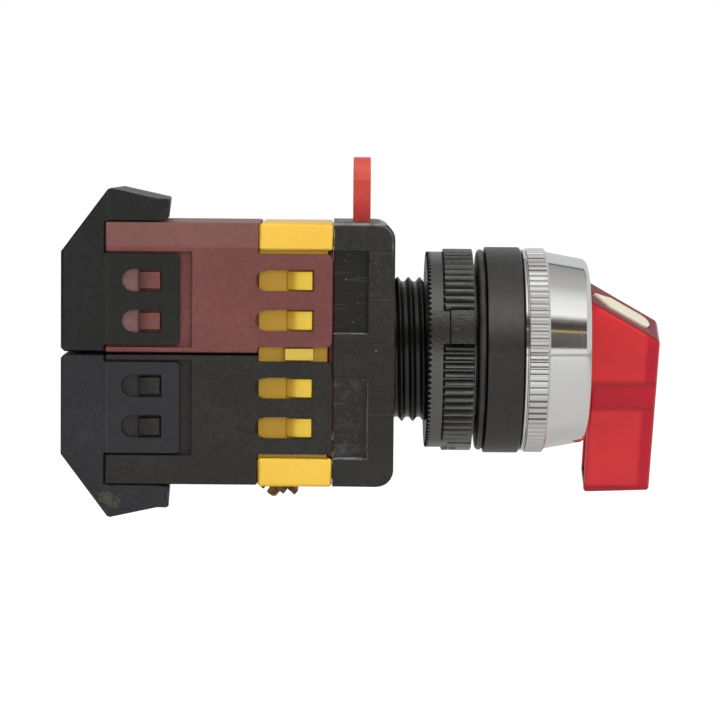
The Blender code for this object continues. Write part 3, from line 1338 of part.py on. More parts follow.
def make_contacts(label, side, closed_at_rest):
    """Make a contact block's plunger, bridge, spring, strips, clamps and screws."""
    middle = side * PLUNGER_OFFSET
    half = PLUNGER_SIZE / 2
    zs = (middle - half, middle + half)
    plunger = block(label + "_plunger", (PLUNGER_FRONT, COLLAR_REAR + FIT), (-half, half), zs)
    size = COLLAR_SIZE / 2
    collar_zs = (middle - size, middle + size)
    collar = block(label + "_collar", (COLLAR_FRONT, COLLAR_REAR), (-size, size), collar_zs)
    place = Matrix.Translation((0.0, 0.0, middle)) @ ALONG_X
    pin_ends = (COLLAR_REAR - PIN_LENGTH, COLLAR_FRONT - FIT)
    pin = cylinder(label + "_pin", PIN_RADIUS, *pin_ends, SMALL_STEPS, place)
    join(plunger, collar, pin)
    dress(plunger, WHITE_PLASTIC, 0.4)
    width = BRIDGE_WIDTH / 2
    length = BRIDGE_HALF_LENGTH
    outline = rectangle((-length, length), (middle - width, middle + width))
    hole = circle(PIN_RADIUS + FIT, SMALL_STEPS, (0.0, middle))
    bridge = slab_x(label + "_bridge", [outline, hole], BRIDGE_REAR, BRIDGE_FRONT)
    dress(bridge, BRASS, 0.3, 1.0)
    spring = coil(
        label + "_contact_spring",
        CONTACT_SPRING_RADIUS,
        CONTACT_SPRING_WIRE,
        PARTITION_FRONT + SEAM,
        BRIDGE_REAR - SEAM,
        CONTACT_SPRING_TURNS,
        (0.0, middle),
        8,
    )
    dress(spring, STEEL, 0.3, 1.0)
    if closed_at_rest:
        contact = BRIDGE_FRONT + FIT + METAL_THICKNESS / 2
    else:
        contact = BRIDGE_REAR - FOLLOWER_TRAVEL - FIT - METAL_THICKNESS / 2
    strip_rear = PARTITION_REAR - SEAM - METAL_THICKNESS / 2
    side_line = STRIP_OUTER - METAL_THICKNESS / 2
    clamp_front = PARTITION_REAR - 2 * SEAM - METAL_THICKNESS
    clamp_rear = clamp_front - METAL_THICKNESS
    head_front = clamp_rear - SEAM
    bottom = side * TERMINAL_OFFSET - TERMINAL_WIDTH / 2
    top = side * TERMINAL_OFFSET + TERMINAL_WIDTH / 2
    for face_label, face in FACES:
        line = [
            (contact, face * STRIP_INNER),
            (contact, face * side_line),
            (strip_rear, face * side_line),
            (strip_rear, face * STRIP_INNER),
        ]
        name = f"{label}_{face_label}"
        strip = slab_z(name + "_terminal", [bent_strip(line, METAL_THICKNESS)], bottom, top)
        place = (0.0, face * TERMINAL_SCREW_PLACE, side * TERMINAL_OFFSET)
        hole = TERMINAL_SHANK_RADIUS + FIT
        tool = cylinder(
            name + "_terminal_hole",
            hole,
            strip_rear - METAL_THICKNESS,
            strip_rear + METAL_THICKNESS,
            SMALL_STEPS,
            Matrix.Translation(place) @ ALONG_X,
        )
        cut(strip, tool)
        dress(strip, BRASS, 0.3, 1.0)
        size = TERMINAL_CLAMP_SIZE / 2
        outline = rectangle((place[1] - size, place[1] + size), (place[2] - size, place[2] + size))
        holes = circle(hole, SMALL_STEPS, (place[1], place[2]))
        clamp = slab_x(name + "_clamp", [outline, holes], clamp_rear, clamp_front)
        dress(clamp, STEEL, 0.35, 1.0)
        turn = facing((1.0, 0.0, 0.0), (head_front - TERMINAL_HEAD_HEIGHT, place[1], place[2]))
        make_screw(
            name + "_screw",
            TERMINAL_HEAD_RADIUS,
            TERMINAL_HEAD_HEIGHT,
            TERMINAL_SHANK_RADIUS,
            TERMINAL_SHANK_LENGTH,
            turn,
        )


def make_push_rod(label, side):
    """Make the rod that carries the follower's push through the lamp block."""
    half = PLUNGER_SIZE / 2
    zs = (side * FOLLOWER_COUNTERBORE, side * (PLUNGER_OFFSET + half))
    rod = block(label + "_push_rod", (ROD_REAR, ROD_FRONT), (-half, half), zs)
    soften(rod, EDGE_ROUND)
    dress(rod, WHITE_PLASTIC, 0.4)


def make_cover(label, side):
    """Make one terminal cover: hollow body, hood over the wires and two snap tongues."""
    peak_x = COVER_FACE + COVER_PEAK_SETBACK
    hood_low = HOUSING_TOP + SEAM / 2
    side_view = [
        (COVER_REAR + COVER_CHAMFER, COVER_LOW),
        (COVER_FACE, COVER_LOW),
        (COVER_FACE, hood_low),
        (HOOD_FRONT - HOOD_UNDERCUT, hood_low),
        (HOOD_FRONT, HOOD_FRONT_TOP),
        (HOOD_FRONT - HOOD_FLAT, HOOD_FRONT_TOP),
        (peak_x, COVER_PEAK),
        (COVER_REAR, COVER_SHOULDER),
        (COVER_REAR, COVER_LOW + COVER_CHAMFER),
    ]
    cover = slab_y(label + "_cover", [mirrored(side_view, side)], -HALF_DEPTH, HALF_DEPTH)
    soften(cover, EDGE_ROUND)
    w = COVER_WALL
    open_x = COVER_FACE + FIT
    inner = [
        (COVER_REAR + w, COVER_LOW + w),
        (open_x, COVER_LOW + w),
        (open_x, hood_low - SEAM),
        (HOOD_FRONT + FIT, hood_low - SEAM),
        (HOOD_FRONT + FIT, HOOD_FRONT_TOP - w),
        (peak_x, COVER_PEAK - COVER_PEAK_WALL),
        (COVER_REAR + w, COVER_SHOULDER - w / 2),
    ]
    depth = HALF_DEPTH - w
    cut(cover, slab_y(label + "_wire_space", [mirrored(inner, side)], -depth, depth))
    c = TONGUE_CORNER
    front = COVER_FACE + TONGUE_LENGTH
    root = COVER_FACE - w
    tongue = [(root, TONGUE_LOW)]
    tongue += arc((front - c, TONGUE_LOW + c), c, -90.0, 0.0)
    tongue += arc((front - c, TONGUE_HIGH - c), c, 0.0, 90.0)
    tongue += [(root, TONGUE_HIGH)]
    start = COVER_FACE + TONGUE_WINDOW_START
    windows = [
        mirrored(
            round_start_slot(start, start + TONGUE_WINDOW_LENGTH, level, TONGUE_WINDOW_HEIGHT), side
        )
        for level in (TONGUE_WINDOW_LOW, TONGUE_WINDOW_HIGH)
    ]
    for face_label, face in FACES:
        outer = HALF_DEPTH - SEAM / 4
        span = sorted((face * (outer - TONGUE_THICKNESS), face * outer))
        name = f"{label}_{face_label}"
        join(cover, slab_y(name + "_tongue", [mirrored(tongue, side), *windows], *span))
        place = (0.0, face * TERMINAL_SCREW_PLACE, side * TERMINAL_OFFSET)
        hole = cylinder(
            name + "_access",
            ACCESS_RADIUS,
            COVER_REAR - FIT,
            COVER_REAR + w + FIT,
            SMALL_STEPS,
            Matrix.Translation(place) @ ALONG_X,
        )
        cut(cover, hole)
    dress(cover, BLACK_PLASTIC, 0.40)


def make_contact_block(label, side, colour, closed_at_rest):
    """Make everything that belongs to one contact block."""
    make_housing(label, side, colour)
    make_front_plate(label, side, colour)
    make_contacts(label, side, closed_at_rest)
    make_push_rod(label, side)
    make_cover(label, side)


def main():
    """Build the switch from its front to its terminal covers."""
    make_bezel()
    make_handle()
    make_seal()
    make_head()
    make_gasket()
    make_cam()
    make_follower()
    make_locknut()
    make_base()
    make_lock_ring()
    make_retainer()
    make_lamp_block()
    make_lamp_terminals()
    make_lamp()
    make_contact_block("upper", 1.0, MAROON_PLASTIC, True)
    make_contact_block("lower", -1.0, BLACK_PLASTIC, False)


main()
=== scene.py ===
"""Looks of an illuminated selector switch for a 22 mm panel hole.

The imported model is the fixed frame, in metres, with +X towards the handle and +Z towards the
lock lever. Fine pieces are built around it and take their places from its nodes, and every node
that stays gets a finish.
"""

import json
import logging
import math
from contextlib import contextmanager
from dataclasses import dataclass
from enum import Enum
from typing import Any, Callable, Dict, Iterator, List, Optional, Sequence, Tuple, Union

import bmesh
import bpy
from mathutils import Matrix, Vector

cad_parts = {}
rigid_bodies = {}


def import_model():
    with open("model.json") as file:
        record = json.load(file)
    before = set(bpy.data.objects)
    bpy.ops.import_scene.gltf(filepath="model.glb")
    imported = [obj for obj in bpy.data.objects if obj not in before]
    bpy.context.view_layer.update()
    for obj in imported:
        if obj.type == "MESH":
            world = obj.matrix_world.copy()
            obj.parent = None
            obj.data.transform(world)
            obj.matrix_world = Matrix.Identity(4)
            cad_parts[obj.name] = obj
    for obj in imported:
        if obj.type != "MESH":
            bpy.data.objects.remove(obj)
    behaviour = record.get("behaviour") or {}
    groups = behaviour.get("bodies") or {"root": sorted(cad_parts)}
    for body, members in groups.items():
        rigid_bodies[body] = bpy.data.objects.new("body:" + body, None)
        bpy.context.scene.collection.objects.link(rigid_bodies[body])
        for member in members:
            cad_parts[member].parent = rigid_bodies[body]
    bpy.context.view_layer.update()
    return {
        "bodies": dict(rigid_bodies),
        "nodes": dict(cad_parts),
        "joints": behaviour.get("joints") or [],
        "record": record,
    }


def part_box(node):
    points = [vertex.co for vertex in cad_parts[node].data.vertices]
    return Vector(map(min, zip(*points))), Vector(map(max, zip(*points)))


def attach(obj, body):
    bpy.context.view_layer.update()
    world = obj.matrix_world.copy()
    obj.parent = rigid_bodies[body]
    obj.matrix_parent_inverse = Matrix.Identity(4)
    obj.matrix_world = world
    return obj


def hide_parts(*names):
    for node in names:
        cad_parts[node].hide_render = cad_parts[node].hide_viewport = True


LOG = logging.getLogger("selector_switch")
MM = 0.001

Colour = Tuple[float, float, float]
Station = Tuple[float, float]


class Body(Enum):
    """The bodies that fine pieces ride on."""

    SWITCH = "switch_body"
    HANDLE = "handle"
    LEVER = "lock_lever"
    NUT = "nut"


class Slot(Enum):
    """The record's material slots, passed along with each fine piece."""

    CHROME = "chrome"
    BLACK = "black_plastic"
    RUBBER = "rubber"
    CLEAR_RED = "red_translucent"
    CREAM = "cream_plastic"
    RED = "red_plastic"
    YELLOW = "yellow_plastic"
    MAROON = "maroon_plastic"


def deselect_all() -> None:
    """Clear the selection, so that an operator acts on what is picked next."""
    bpy.ops.object.select_all(action="DESELECT")


def make_active(piece: bpy.types.Object) -> None:
    """Select one piece alone and make it the active one.

    Args:
        piece: The object that the next operators act on.
    """
    deselect_all()
    piece.select_set(True)
    bpy.context.view_layer.objects.active = piece


@contextmanager
def editing(piece: bpy.types.Object, kind: str = "VERT") -> Iterator[bpy.types.Object]:
    """Open a piece in edit mode with nothing selected, and close it again.

    Args:
        piece: The mesh object to edit.
        kind: The selection mode, VERT, EDGE or FACE.
    """
    make_active(piece)
    bpy.ops.object.mode_set(mode="EDIT")
    bpy.ops.mesh.select_mode(type=kind)
    bpy.ops.mesh.select_all(action="DESELECT")
    try:
        yield piece
    finally:
        bpy.ops.object.mode_set(mode="OBJECT")


def pick_points(piece: bpy.types.Object, test: Callable[[Vector], bool]) -> int:
    """Select the points of a piece in edit mode that pass a test on their place.

    Args:
        piece: The object being edited.
        test: Says whether a point is picked.

    Returns:
        How many points were picked.
    """
    shell = bmesh.from_edit_mesh(piece.data)
    found = 0
    for vert in shell.verts:
        vert.select = test(vert.co)
        found += vert.select
    shell.select_flush_mode()
    bmesh.update_edit_mesh(piece.data)
    return found


def settle(piece: bpy.types.Object) -> bpy.types.Object:
    """Move a piece's place, turn and scale into its mesh.

    Args:
        piece: The object to settle.

    Returns:
        The same object.
    """
    make_active(piece)
    bpy.ops.object.transform_apply(location=True, rotation=True, scale=True)
    return piece


def apply_modifier(piece: bpy.types.Object, kind: str, **settings: Any) -> bpy.types.Object:
    """Add one modifier, set it and apply it.

    Args:
        piece: The object to change.
        kind: The modifier's type.
        settings: Its properties.

    Returns:
        The same object.
    """
    make_active(piece)
    bpy.ops.object.modifier_add(type=kind)
    modifier = piece.modifiers[-1]
    for key, value in settings.items():
        setattr(modifier, key, value)
    bpy.ops.object.modifier_apply(modifier=modifier.name)
    return piece


def shade_smooth(piece: bpy.types.Object, angle: float = 32.0) -> bpy.types.Object:
    """Shade a piece smooth.

    Args:
        piece: The object to shade.
        angle: The angle in degrees from which an edge stays sharp.

    Returns:
        The same object.
    """
    make_active(piece)
    bpy.ops.object.shade_smooth_by_angle(angle=math.radians(angle))
    return piece


def round_edges(
    piece: bpy.types.Object, width: float, segments: int = 2, angle: float = 40.0
) -> bpy.types.Object:
    """Round the sharp edges of a piece.

    Args:
        piece: The object to change.
        width: The rounding's width in metres.
        segments: The faces across each rounding.
        angle: The least angle in degrees of an edge that is rounded.

    Returns:
        The same object, shaded smooth with its flat faces kept flat.
    """
    apply_modifier(
        piece,
        "BEVEL",
        width=width,
        segments=segments,
        limit_method="ANGLE",
        angle_limit=math.radians(angle),
        use_clamp_overlap=False,
        harden_normals=False,
        miter_outer="MITER_ARC",
    )
    shade_smooth(piece, 60.0)
    return apply_modifier(piece, "WEIGHTED_NORMAL", keep_sharp=True, weight=100)


def join_pieces(target: bpy.types.Object, extras: Sequence[bpy.types.Object]) -> bpy.types.Object:
    """Join other objects to a piece.

    Args:
        target: The piece that stays.
        extras: The objects that become part of it.

    Returns:
        The piece.
    """
    make_active(target)
    for extra in extras:
        extra.select_set(True)
    bpy.ops.object.join()
    return target


def turn_rings(name: str, profile: Sequence[Station], steps: int) -> bpy.types.Object:
    """Turn a closed profile about X by drawing a ring out from station to station.

    Args:
        name: The object's name.
        profile: Stations of (place along X, radius), all off the axis.
        steps: Points round each ring.

    Returns:
        The closed ring.
    """
    deselect_all()
    start, radius = profile[0]
    quarter = math.pi / 2
    bpy.ops.mesh.primitive_circle_add(
        vertices=steps, radius=radius, location=(start, 0.0, 0.0), rotation=(0.0, quarter, 0.0)
    )
    piece = bpy.context.object
    piece.name = name
    settle(piece)
    with editing(piece):
        bpy.ops.mesh.select_all(action="SELECT")
        for (x_from, r_from), (x_to, r_to) in zip(profile, profile[1:]):
            bpy.ops.mesh.extrude_edges_move(
                TRANSFORM_OT_translate={"value": (x_to - x_from, 0.0, 0.0)}
            )
            share = r_to / r_from
            bpy.ops.transform.resize(value=(1.0, share, share), center_override=(0.0, 0.0, 0.0))
        bpy.ops.mesh.select_all(action="DESELECT")
        bpy.ops.mesh.select_non_manifold()
        bpy.ops.mesh.bridge_edge_loops()
        bpy.ops.mesh.select_all(action="SELECT")
        bpy.ops.mesh.normals_make_consistent(inside=False)
    return piece


def ring_index(point: Vector, steps: int) -> int:
    """Return the step of a ring that a point lies on, counted from +Y towards +Z."""
    turn = math.atan2(point.z, point.y) / math.tau
    return round(turn * steps) % steps


@dataclass(frozen=True)
class RibPattern:
    """A pattern of ribs or teeth that repeats round a ring.

    Attributes:
        count: How many repeat round the ring.
        heights: The share of the full height at each step of one rib.
        offset: The ring step at which the pattern starts.
    """

    count: int
    heights: Tuple[float, ...]
    offset: int = 0

    @property
    def steps(self) -> int:
        """Return the points round the ring that the pattern needs."""
        return self.count * len(self.heights)

    def share(self, index: int) -> float:
        """Return the share of the full height at a step of the ring."""
        return self.heights[(index - self.offset) % len(self.heights)]


def change_ring(
    piece: bpy.types.Object,
    steps: int,
    near: Callable[[Vector], bool],
    share_at: Callable[[int], float],
    change: Callable[[float], None],
) -> None:
    """Apply a change to the points of a ring, graded by their place round it.

    Args:
        piece: The turned piece.
        steps: Points round its rings.
        near: Says whether a point belongs to the rings that change.
        share_at: The share of the change at a ring step, 0 for none.
        change: Changes what is picked, given the share.
    """
    shares = sorted({round(share_at(index), 4) for index in range(steps)} - {0.0})
    with editing(piece):
        shell = bmesh.from_edit_mesh(piece.data)
        groups: Dict[float, List[int]] = {share: [] for share in shares}
        for vert in shell.verts:
            if near(vert.co):
                share = round(share_at(ring_index(vert.co, steps)), 4)
                if share in groups:
                    groups[share].append(vert.index)
        for share, indices in groups.items():
            shell = bmesh.from_edit_mesh(piece.data)
            shell.verts.ensure_lookup_table()
            bpy.ops.mesh.select_all(action="DESELECT")
            for index in indices:
                shell.verts[index].select = True
            shell.select_flush_mode()
            bmesh.update_edit_mesh(piece.data)
            change(share)


def swell(radius: float, rise: float) -> Callable[[float], None]:
    """Make a change that pushes points out from a radius.

    Args:
        radius: The points' distance from the axis.
        rise: How far a full share pushes them.

    Returns:
        The change, which takes a share.
    """

    def change(share: float) -> None:
        """Push the picked points out from the axis."""
        scale = (radius + rise * share) / radius
        bpy.ops.transform.resize(value=(1.0, scale, scale), center_override=(0.0, 0.0, 0.0))

    return change


def slide(distance: float) -> Callable[[float], None]:
    """Make a change that moves points along X.

    Args:
        distance: How far a full share moves them.

    Returns:
        The change, which takes a share.
    """

    def change(share: float) -> None:
        """Move the picked points along the axis."""
        bpy.ops.transform.translate(value=(distance * share, 0.0, 0.0))

    return change


Value = Union[float, Colour, "Signal", Sequence[float]]


class Signal:
    """A shader socket that takes part in Python expressions."""

    def __init__(self, sheet: "NodeSheet", socket: bpy.types.NodeSocket) -> None:
        """Keep the sheet that the socket belongs to."""
        self.sheet = sheet
        self.socket = socket

    def maths(self, operation: str, first: Value, second: Value = 0.0) -> "Signal":
        """Add a Math node on this signal's sheet and return its result."""
        return self.sheet.node("ShaderNodeMath", {"operation": operation}, {0: first, 1: second})

    def __add__(self, other: Value) -> "Signal":
        """Return the sum."""
        return self.maths("ADD", self, other)

    __radd__ = __add__

    def __sub__(self, other: Value) -> "Signal":
        """Return this less the other."""
        return self.maths("SUBTRACT", self, other)

    def __rsub__(self, other: Value) -> "Signal":
        """Return the other less this."""
        return self.maths("SUBTRACT", other, self)

    def __mul__(self, other: Value) -> "Signal":
        """Return the product."""
        return self.maths("MULTIPLY", self, other)

    __rmul__ = __mul__

    def __truediv__(self, other: Value) -> "Signal":
        """Return the quotient."""
        return self.maths("DIVIDE", self, other)

    def above(self, limit: float) -> "Signal":
        """Return 1 where the signal is over a limit, and 0 elsewhere."""
        return self.maths("GREATER_THAN", self, limit)

    def magnitude(self) -> "Signal":
        """Return the signal without its sign."""
        return self.maths("ABSOLUTE", self)

    def ramp(self, low: float, high: float) -> "Signal":
        """Add a smooth step.

        Args:
            low: Where the result is 0.
            high: Where it is 1, which may be the lesser of the two.

        Returns:
            A share from 0 to 1.
        """
        ends = {3: 0.0, 4: 1.0} if low < high else {3: 1.0, 4: 0.0}
        return self.sheet.node(
            "ShaderNodeMapRange",
            {"interpolation_type": "SMOOTHSTEP", "clamp": True},
            {0: self, 1: min(low, high), 2: max(low, high), **ends},
        )


class NodeSheet:
    """The node tree of one material or world, with one method that makes any node."""

    def __init__(self, tree: bpy.types.NodeTree) -> None:
        """Keep the tree."""
        self.tree = tree

    def node(
        self,
        kind: str,
        settings: Optional[Dict[str, Any]] = None,
        inputs: Optional[Dict[Union[int, str], Value]] = None,
        output: Union[int, str] = 0,
    ) -> Signal:
        """Add a node.

        Args:
            kind: The node's type.
            settings: Its properties; stops holds a ramp's (place, colour) pairs.
            inputs: Values or signals by socket.
            output: The socket that is returned.

        Returns:
            The chosen output as a signal.
        """
        made = self.tree.nodes.new(kind)
        for key, value in (settings or {}).items():
            if key == "stops":
                self.set_stops(made.color_ramp, value)
            else:
                setattr(made, key, value)
        self.feed_all(made, inputs or {})
        return Signal(self, made.outputs[output])

    def feed_all(self, node: bpy.types.Node, inputs: Dict[Union[int, str], Value]) -> None:
        """Set the sockets of a node to numbers, colours or links, by name or place."""
        for key, value in inputs.items():
            self.feed(node.inputs[key], value)

    @staticmethod
    def set_stops(ramp: bpy.types.ColorRamp, stops: Sequence[Tuple[float, Colour]]) -> None:
        """Give a colour ramp its stops.

        Args:
            ramp: The ramp.
            stops: Its (place, colour) pairs, from left to right.
        """
        while len(ramp.elements) < len(stops):
            ramp.elements.new(0.5)
        for element, (place, colour) in zip(ramp.elements, stops):
            element.position = place
            element.color = (*colour, 1.0)

    def feed(self, socket: bpy.types.NodeSocket, value: Value) -> None:
        """Set a socket.

        Args:
            socket: The socket to set.
            value: A number, a colour, a vector or a signal to link.
        """
        if isinstance(value, Signal):
            self.tree.links.new(value.socket, socket)
        elif isinstance(value, (tuple, list)):
            current = len(socket.default_value)
            socket.default_value = tuple(value) + (1.0,) * (current - len(value))
        else:
            socket.default_value = value

    def place(self) -> Signal:
        """Return the object's own coordinates, in metres."""
        return self.node("ShaderNodeTexCoord", output="Object")

    def axes(self, vector: Signal) -> Tuple[Signal, Signal, Signal]:
        """Split a vector.

        Args:
            vector: The vector.

        Returns:
            Its parts along X, Y and Z.
        """
        made = self.tree.nodes.new("ShaderNodeSeparateXYZ")
        self.feed(made.inputs[0], vector)
        return tuple(Signal(self, socket) for socket in made.outputs)

    def mapped(
        self,
        vector: Signal,
        scale: Sequence[float] = (1.0, 1.0, 1.0),
        turn: Sequence[float] = (0.0, 0.0, 0.0),
    ) -> Signal:
        """Return a vector turned by degrees about its axes and scaled."""
        angles = [math.radians(angle) for angle in turn]
        return self.node("ShaderNodeMapping", None, {0: vector, 2: angles, 3: scale})

    def noise(
        self, vector: Signal, scale: float, detail: float = 2.0, roughness: float = 0.5
    ) -> Signal:
        """Return smooth noise from 0 to 1."""
        inputs = {"Vector": vector, "Scale": scale, "Detail": detail, "Roughness": roughness}
        return self.node("ShaderNodeTexNoise", None, inputs)

    def specks(self, vector: Signal, scale: float, size: float, share: float) -> Signal:
        """Return round specks, one in some of the cells of a loose grid.

        Args:
            vector: The coordinates.
            scale: Cells to the metre.
            size: A speck's radius as a share of a cell.
            share: The share of the cells that hold a speck.

        Returns:
            1 on a speck and 0 elsewhere.
        """
        cells = self.tree.nodes.new("ShaderNodeTexVoronoi")
        self.feed(cells.inputs["Vector"], vector)
        self.feed(cells.inputs["Scale"], scale)
        distance = Signal(self, cells.outputs["Distance"])
        chance = self.axes(Signal(self, cells.outputs["Color"]))[0]
        return distance.ramp(size, size / 2) * chance.above(1.0 - share)

    def blend(self, factor: Value, first: Value, second: Value, mode: str = "MIX") -> Signal:
        """Return a mix of two colours."""
        settings = {"data_type": "RGBA", "blend_type": mode, "clamp_factor": True}
        return self.node("ShaderNodeMix", settings, {0: factor, 6: first, 7: second}, 2)

    def layered(self, tone: Value, layers: Sequence[Tuple[Value, Value]]) -> Signal:
        """Lay tones over one another.

        Args:
            tone: The lowest tone.
            layers: The (share, tone) of each layer, from the lowest up.

        Returns:
            The tone that shows.
        """
        for share, over in layers:
            tone = self.blend(share, tone, over)
        return tone

    def bump(self, height: Signal, strength: float, distance: float) -> Signal:
        """Return a normal that follows a height, in metres times the distance."""
        inputs = {"Height": height, "Strength": strength, "Distance": distance}
        return self.node("ShaderNodeBump", None, inputs)


def new_material(name: str) -> Tuple[bpy.types.Material, NodeSheet, bpy.types.Node]:
    """Make a material.

    Args:
        name: The material's name.

    Returns:
        The material, its sheet and its Principled shader.
    """
    material = bpy.data.materials.new(name)
    material.use_nodes = True
    shader = material.node_tree.nodes["Principled BSDF"]
    return material, NodeSheet(material.node_tree), shader


Surface = Tuple[Signal, Signal, Signal]


@dataclass(frozen=True)
class MouldedPlastic:
    """Injection-moulded plastic: slow drift of tone, fine grain, dust and faint rubbing.

    Attributes:
        name: The material's name.
        colour: The usual tone.
        drift: The tone that it drifts to.
        roughness: The usual roughness.
        grain: The grain's depth in metres.
        dust: The share of cells that hold a pale speck.
        glow: How much light scatters inside.
        shine: How strongly the bare surface mirrors its surroundings.
        index: The index of refraction, which sets the mirror's strength further.
        mottle: How strongly the grain shows in the tone.
    """

    name: str
    colour: Colour
    drift: Colour
    roughness: float = 0.42
    grain: float = 0.000040
    dust: float = 0.10
    glow: float = 0.0
    shine: float = 0.5
    index: float = 1.5
    mottle: float = 0.5

    DRIFT_SCALE = 110.0
    MOTTLE_SCALE = 1500.0
    GRAIN_SCALE = 3800.0
    RUB_SCALE = 900.0
    RUB_STRENGTH = 0.16
    DUST_SCALE = 620.0
    DUST_SIZE = 0.055
    DUST_STRENGTH = 0.7
    DUST_TONE = (0.42, 0.41, 0.39)
    MOTTLE_SHARE = 0.62
    GLOW_RADIUS = (0.0012, 0.0007, 0.0004)

    def darker(self, share: float) -> Colour:
        """Return a share of the usual tone."""
        return tuple(part * share for part in self.colour)

    def surface(self, sheet: NodeSheet, place: Signal) -> Surface:
        """Work out what the plastic shows at a place.

        Args:
            sheet: The material's sheet.
            place: The object's own coordinates.

        Returns:
            The tone, the roughness and the height of the surface.
        """
        slow = sheet.noise(place, self.DRIFT_SCALE, 3.0)
        middle = sheet.noise(place, self.MOTTLE_SCALE, 4.0, 0.65)
        fine = sheet.noise(place, self.GRAIN_SCALE, 3.0, 0.6)
        long_way = sheet.mapped(place, (0.12, 1.0, 1.0), (0.0, 24.0, 0.0))
        rubbing = sheet.noise(long_way, self.RUB_SCALE, 2.0).ramp(0.66, 0.78)
        specks = sheet.specks(place, self.DUST_SCALE, self.DUST_SIZE, self.dust)
        pale = tuple(min(1.0, part * 1.5 + 0.04) for part in self.colour)
        layers = [
            (slow.ramp(0.3, 0.7), self.drift),
            (middle.ramp(0.68, 0.32) * self.mottle, self.darker(self.MOTTLE_SHARE)),
            (fine.ramp(0.4, 0.7) * self.mottle, self.drift),
            (rubbing * self.RUB_STRENGTH, pale),
            (specks * self.DUST_STRENGTH, self.DUST_TONE),
        ]
        rough = self.roughness + (slow - 0.5) * 0.16 + (fine - 0.5) * 0.10 + specks * 0.3
        height = fine + middle * 1.6 + slow * 2.0 + specks * 1.5
        return sheet.layered(self.colour, layers), rough, height

    def material(self) -> bpy.types.Material:
        """Make the material.

        Returns:
            The material, with its nodes.
        """
        material, sheet, shader = new_material(self.name)
        tone, rough, height = self.surface(sheet, sheet.place())
        sheet.feed_all(
            shader,
            {
                "Base Color": tone,
                "Roughness": rough,
                "Normal": sheet.bump(height, 1.0, self.grain),
                "Subsurface Weight": self.glow,
                "Subsurface Radius": self.GLOW_RADIUS,
                "Subsurface Scale": 1.0,
                "IOR": self.index,
                "Specular IOR Level": self.shine,
            },
        )
        return material


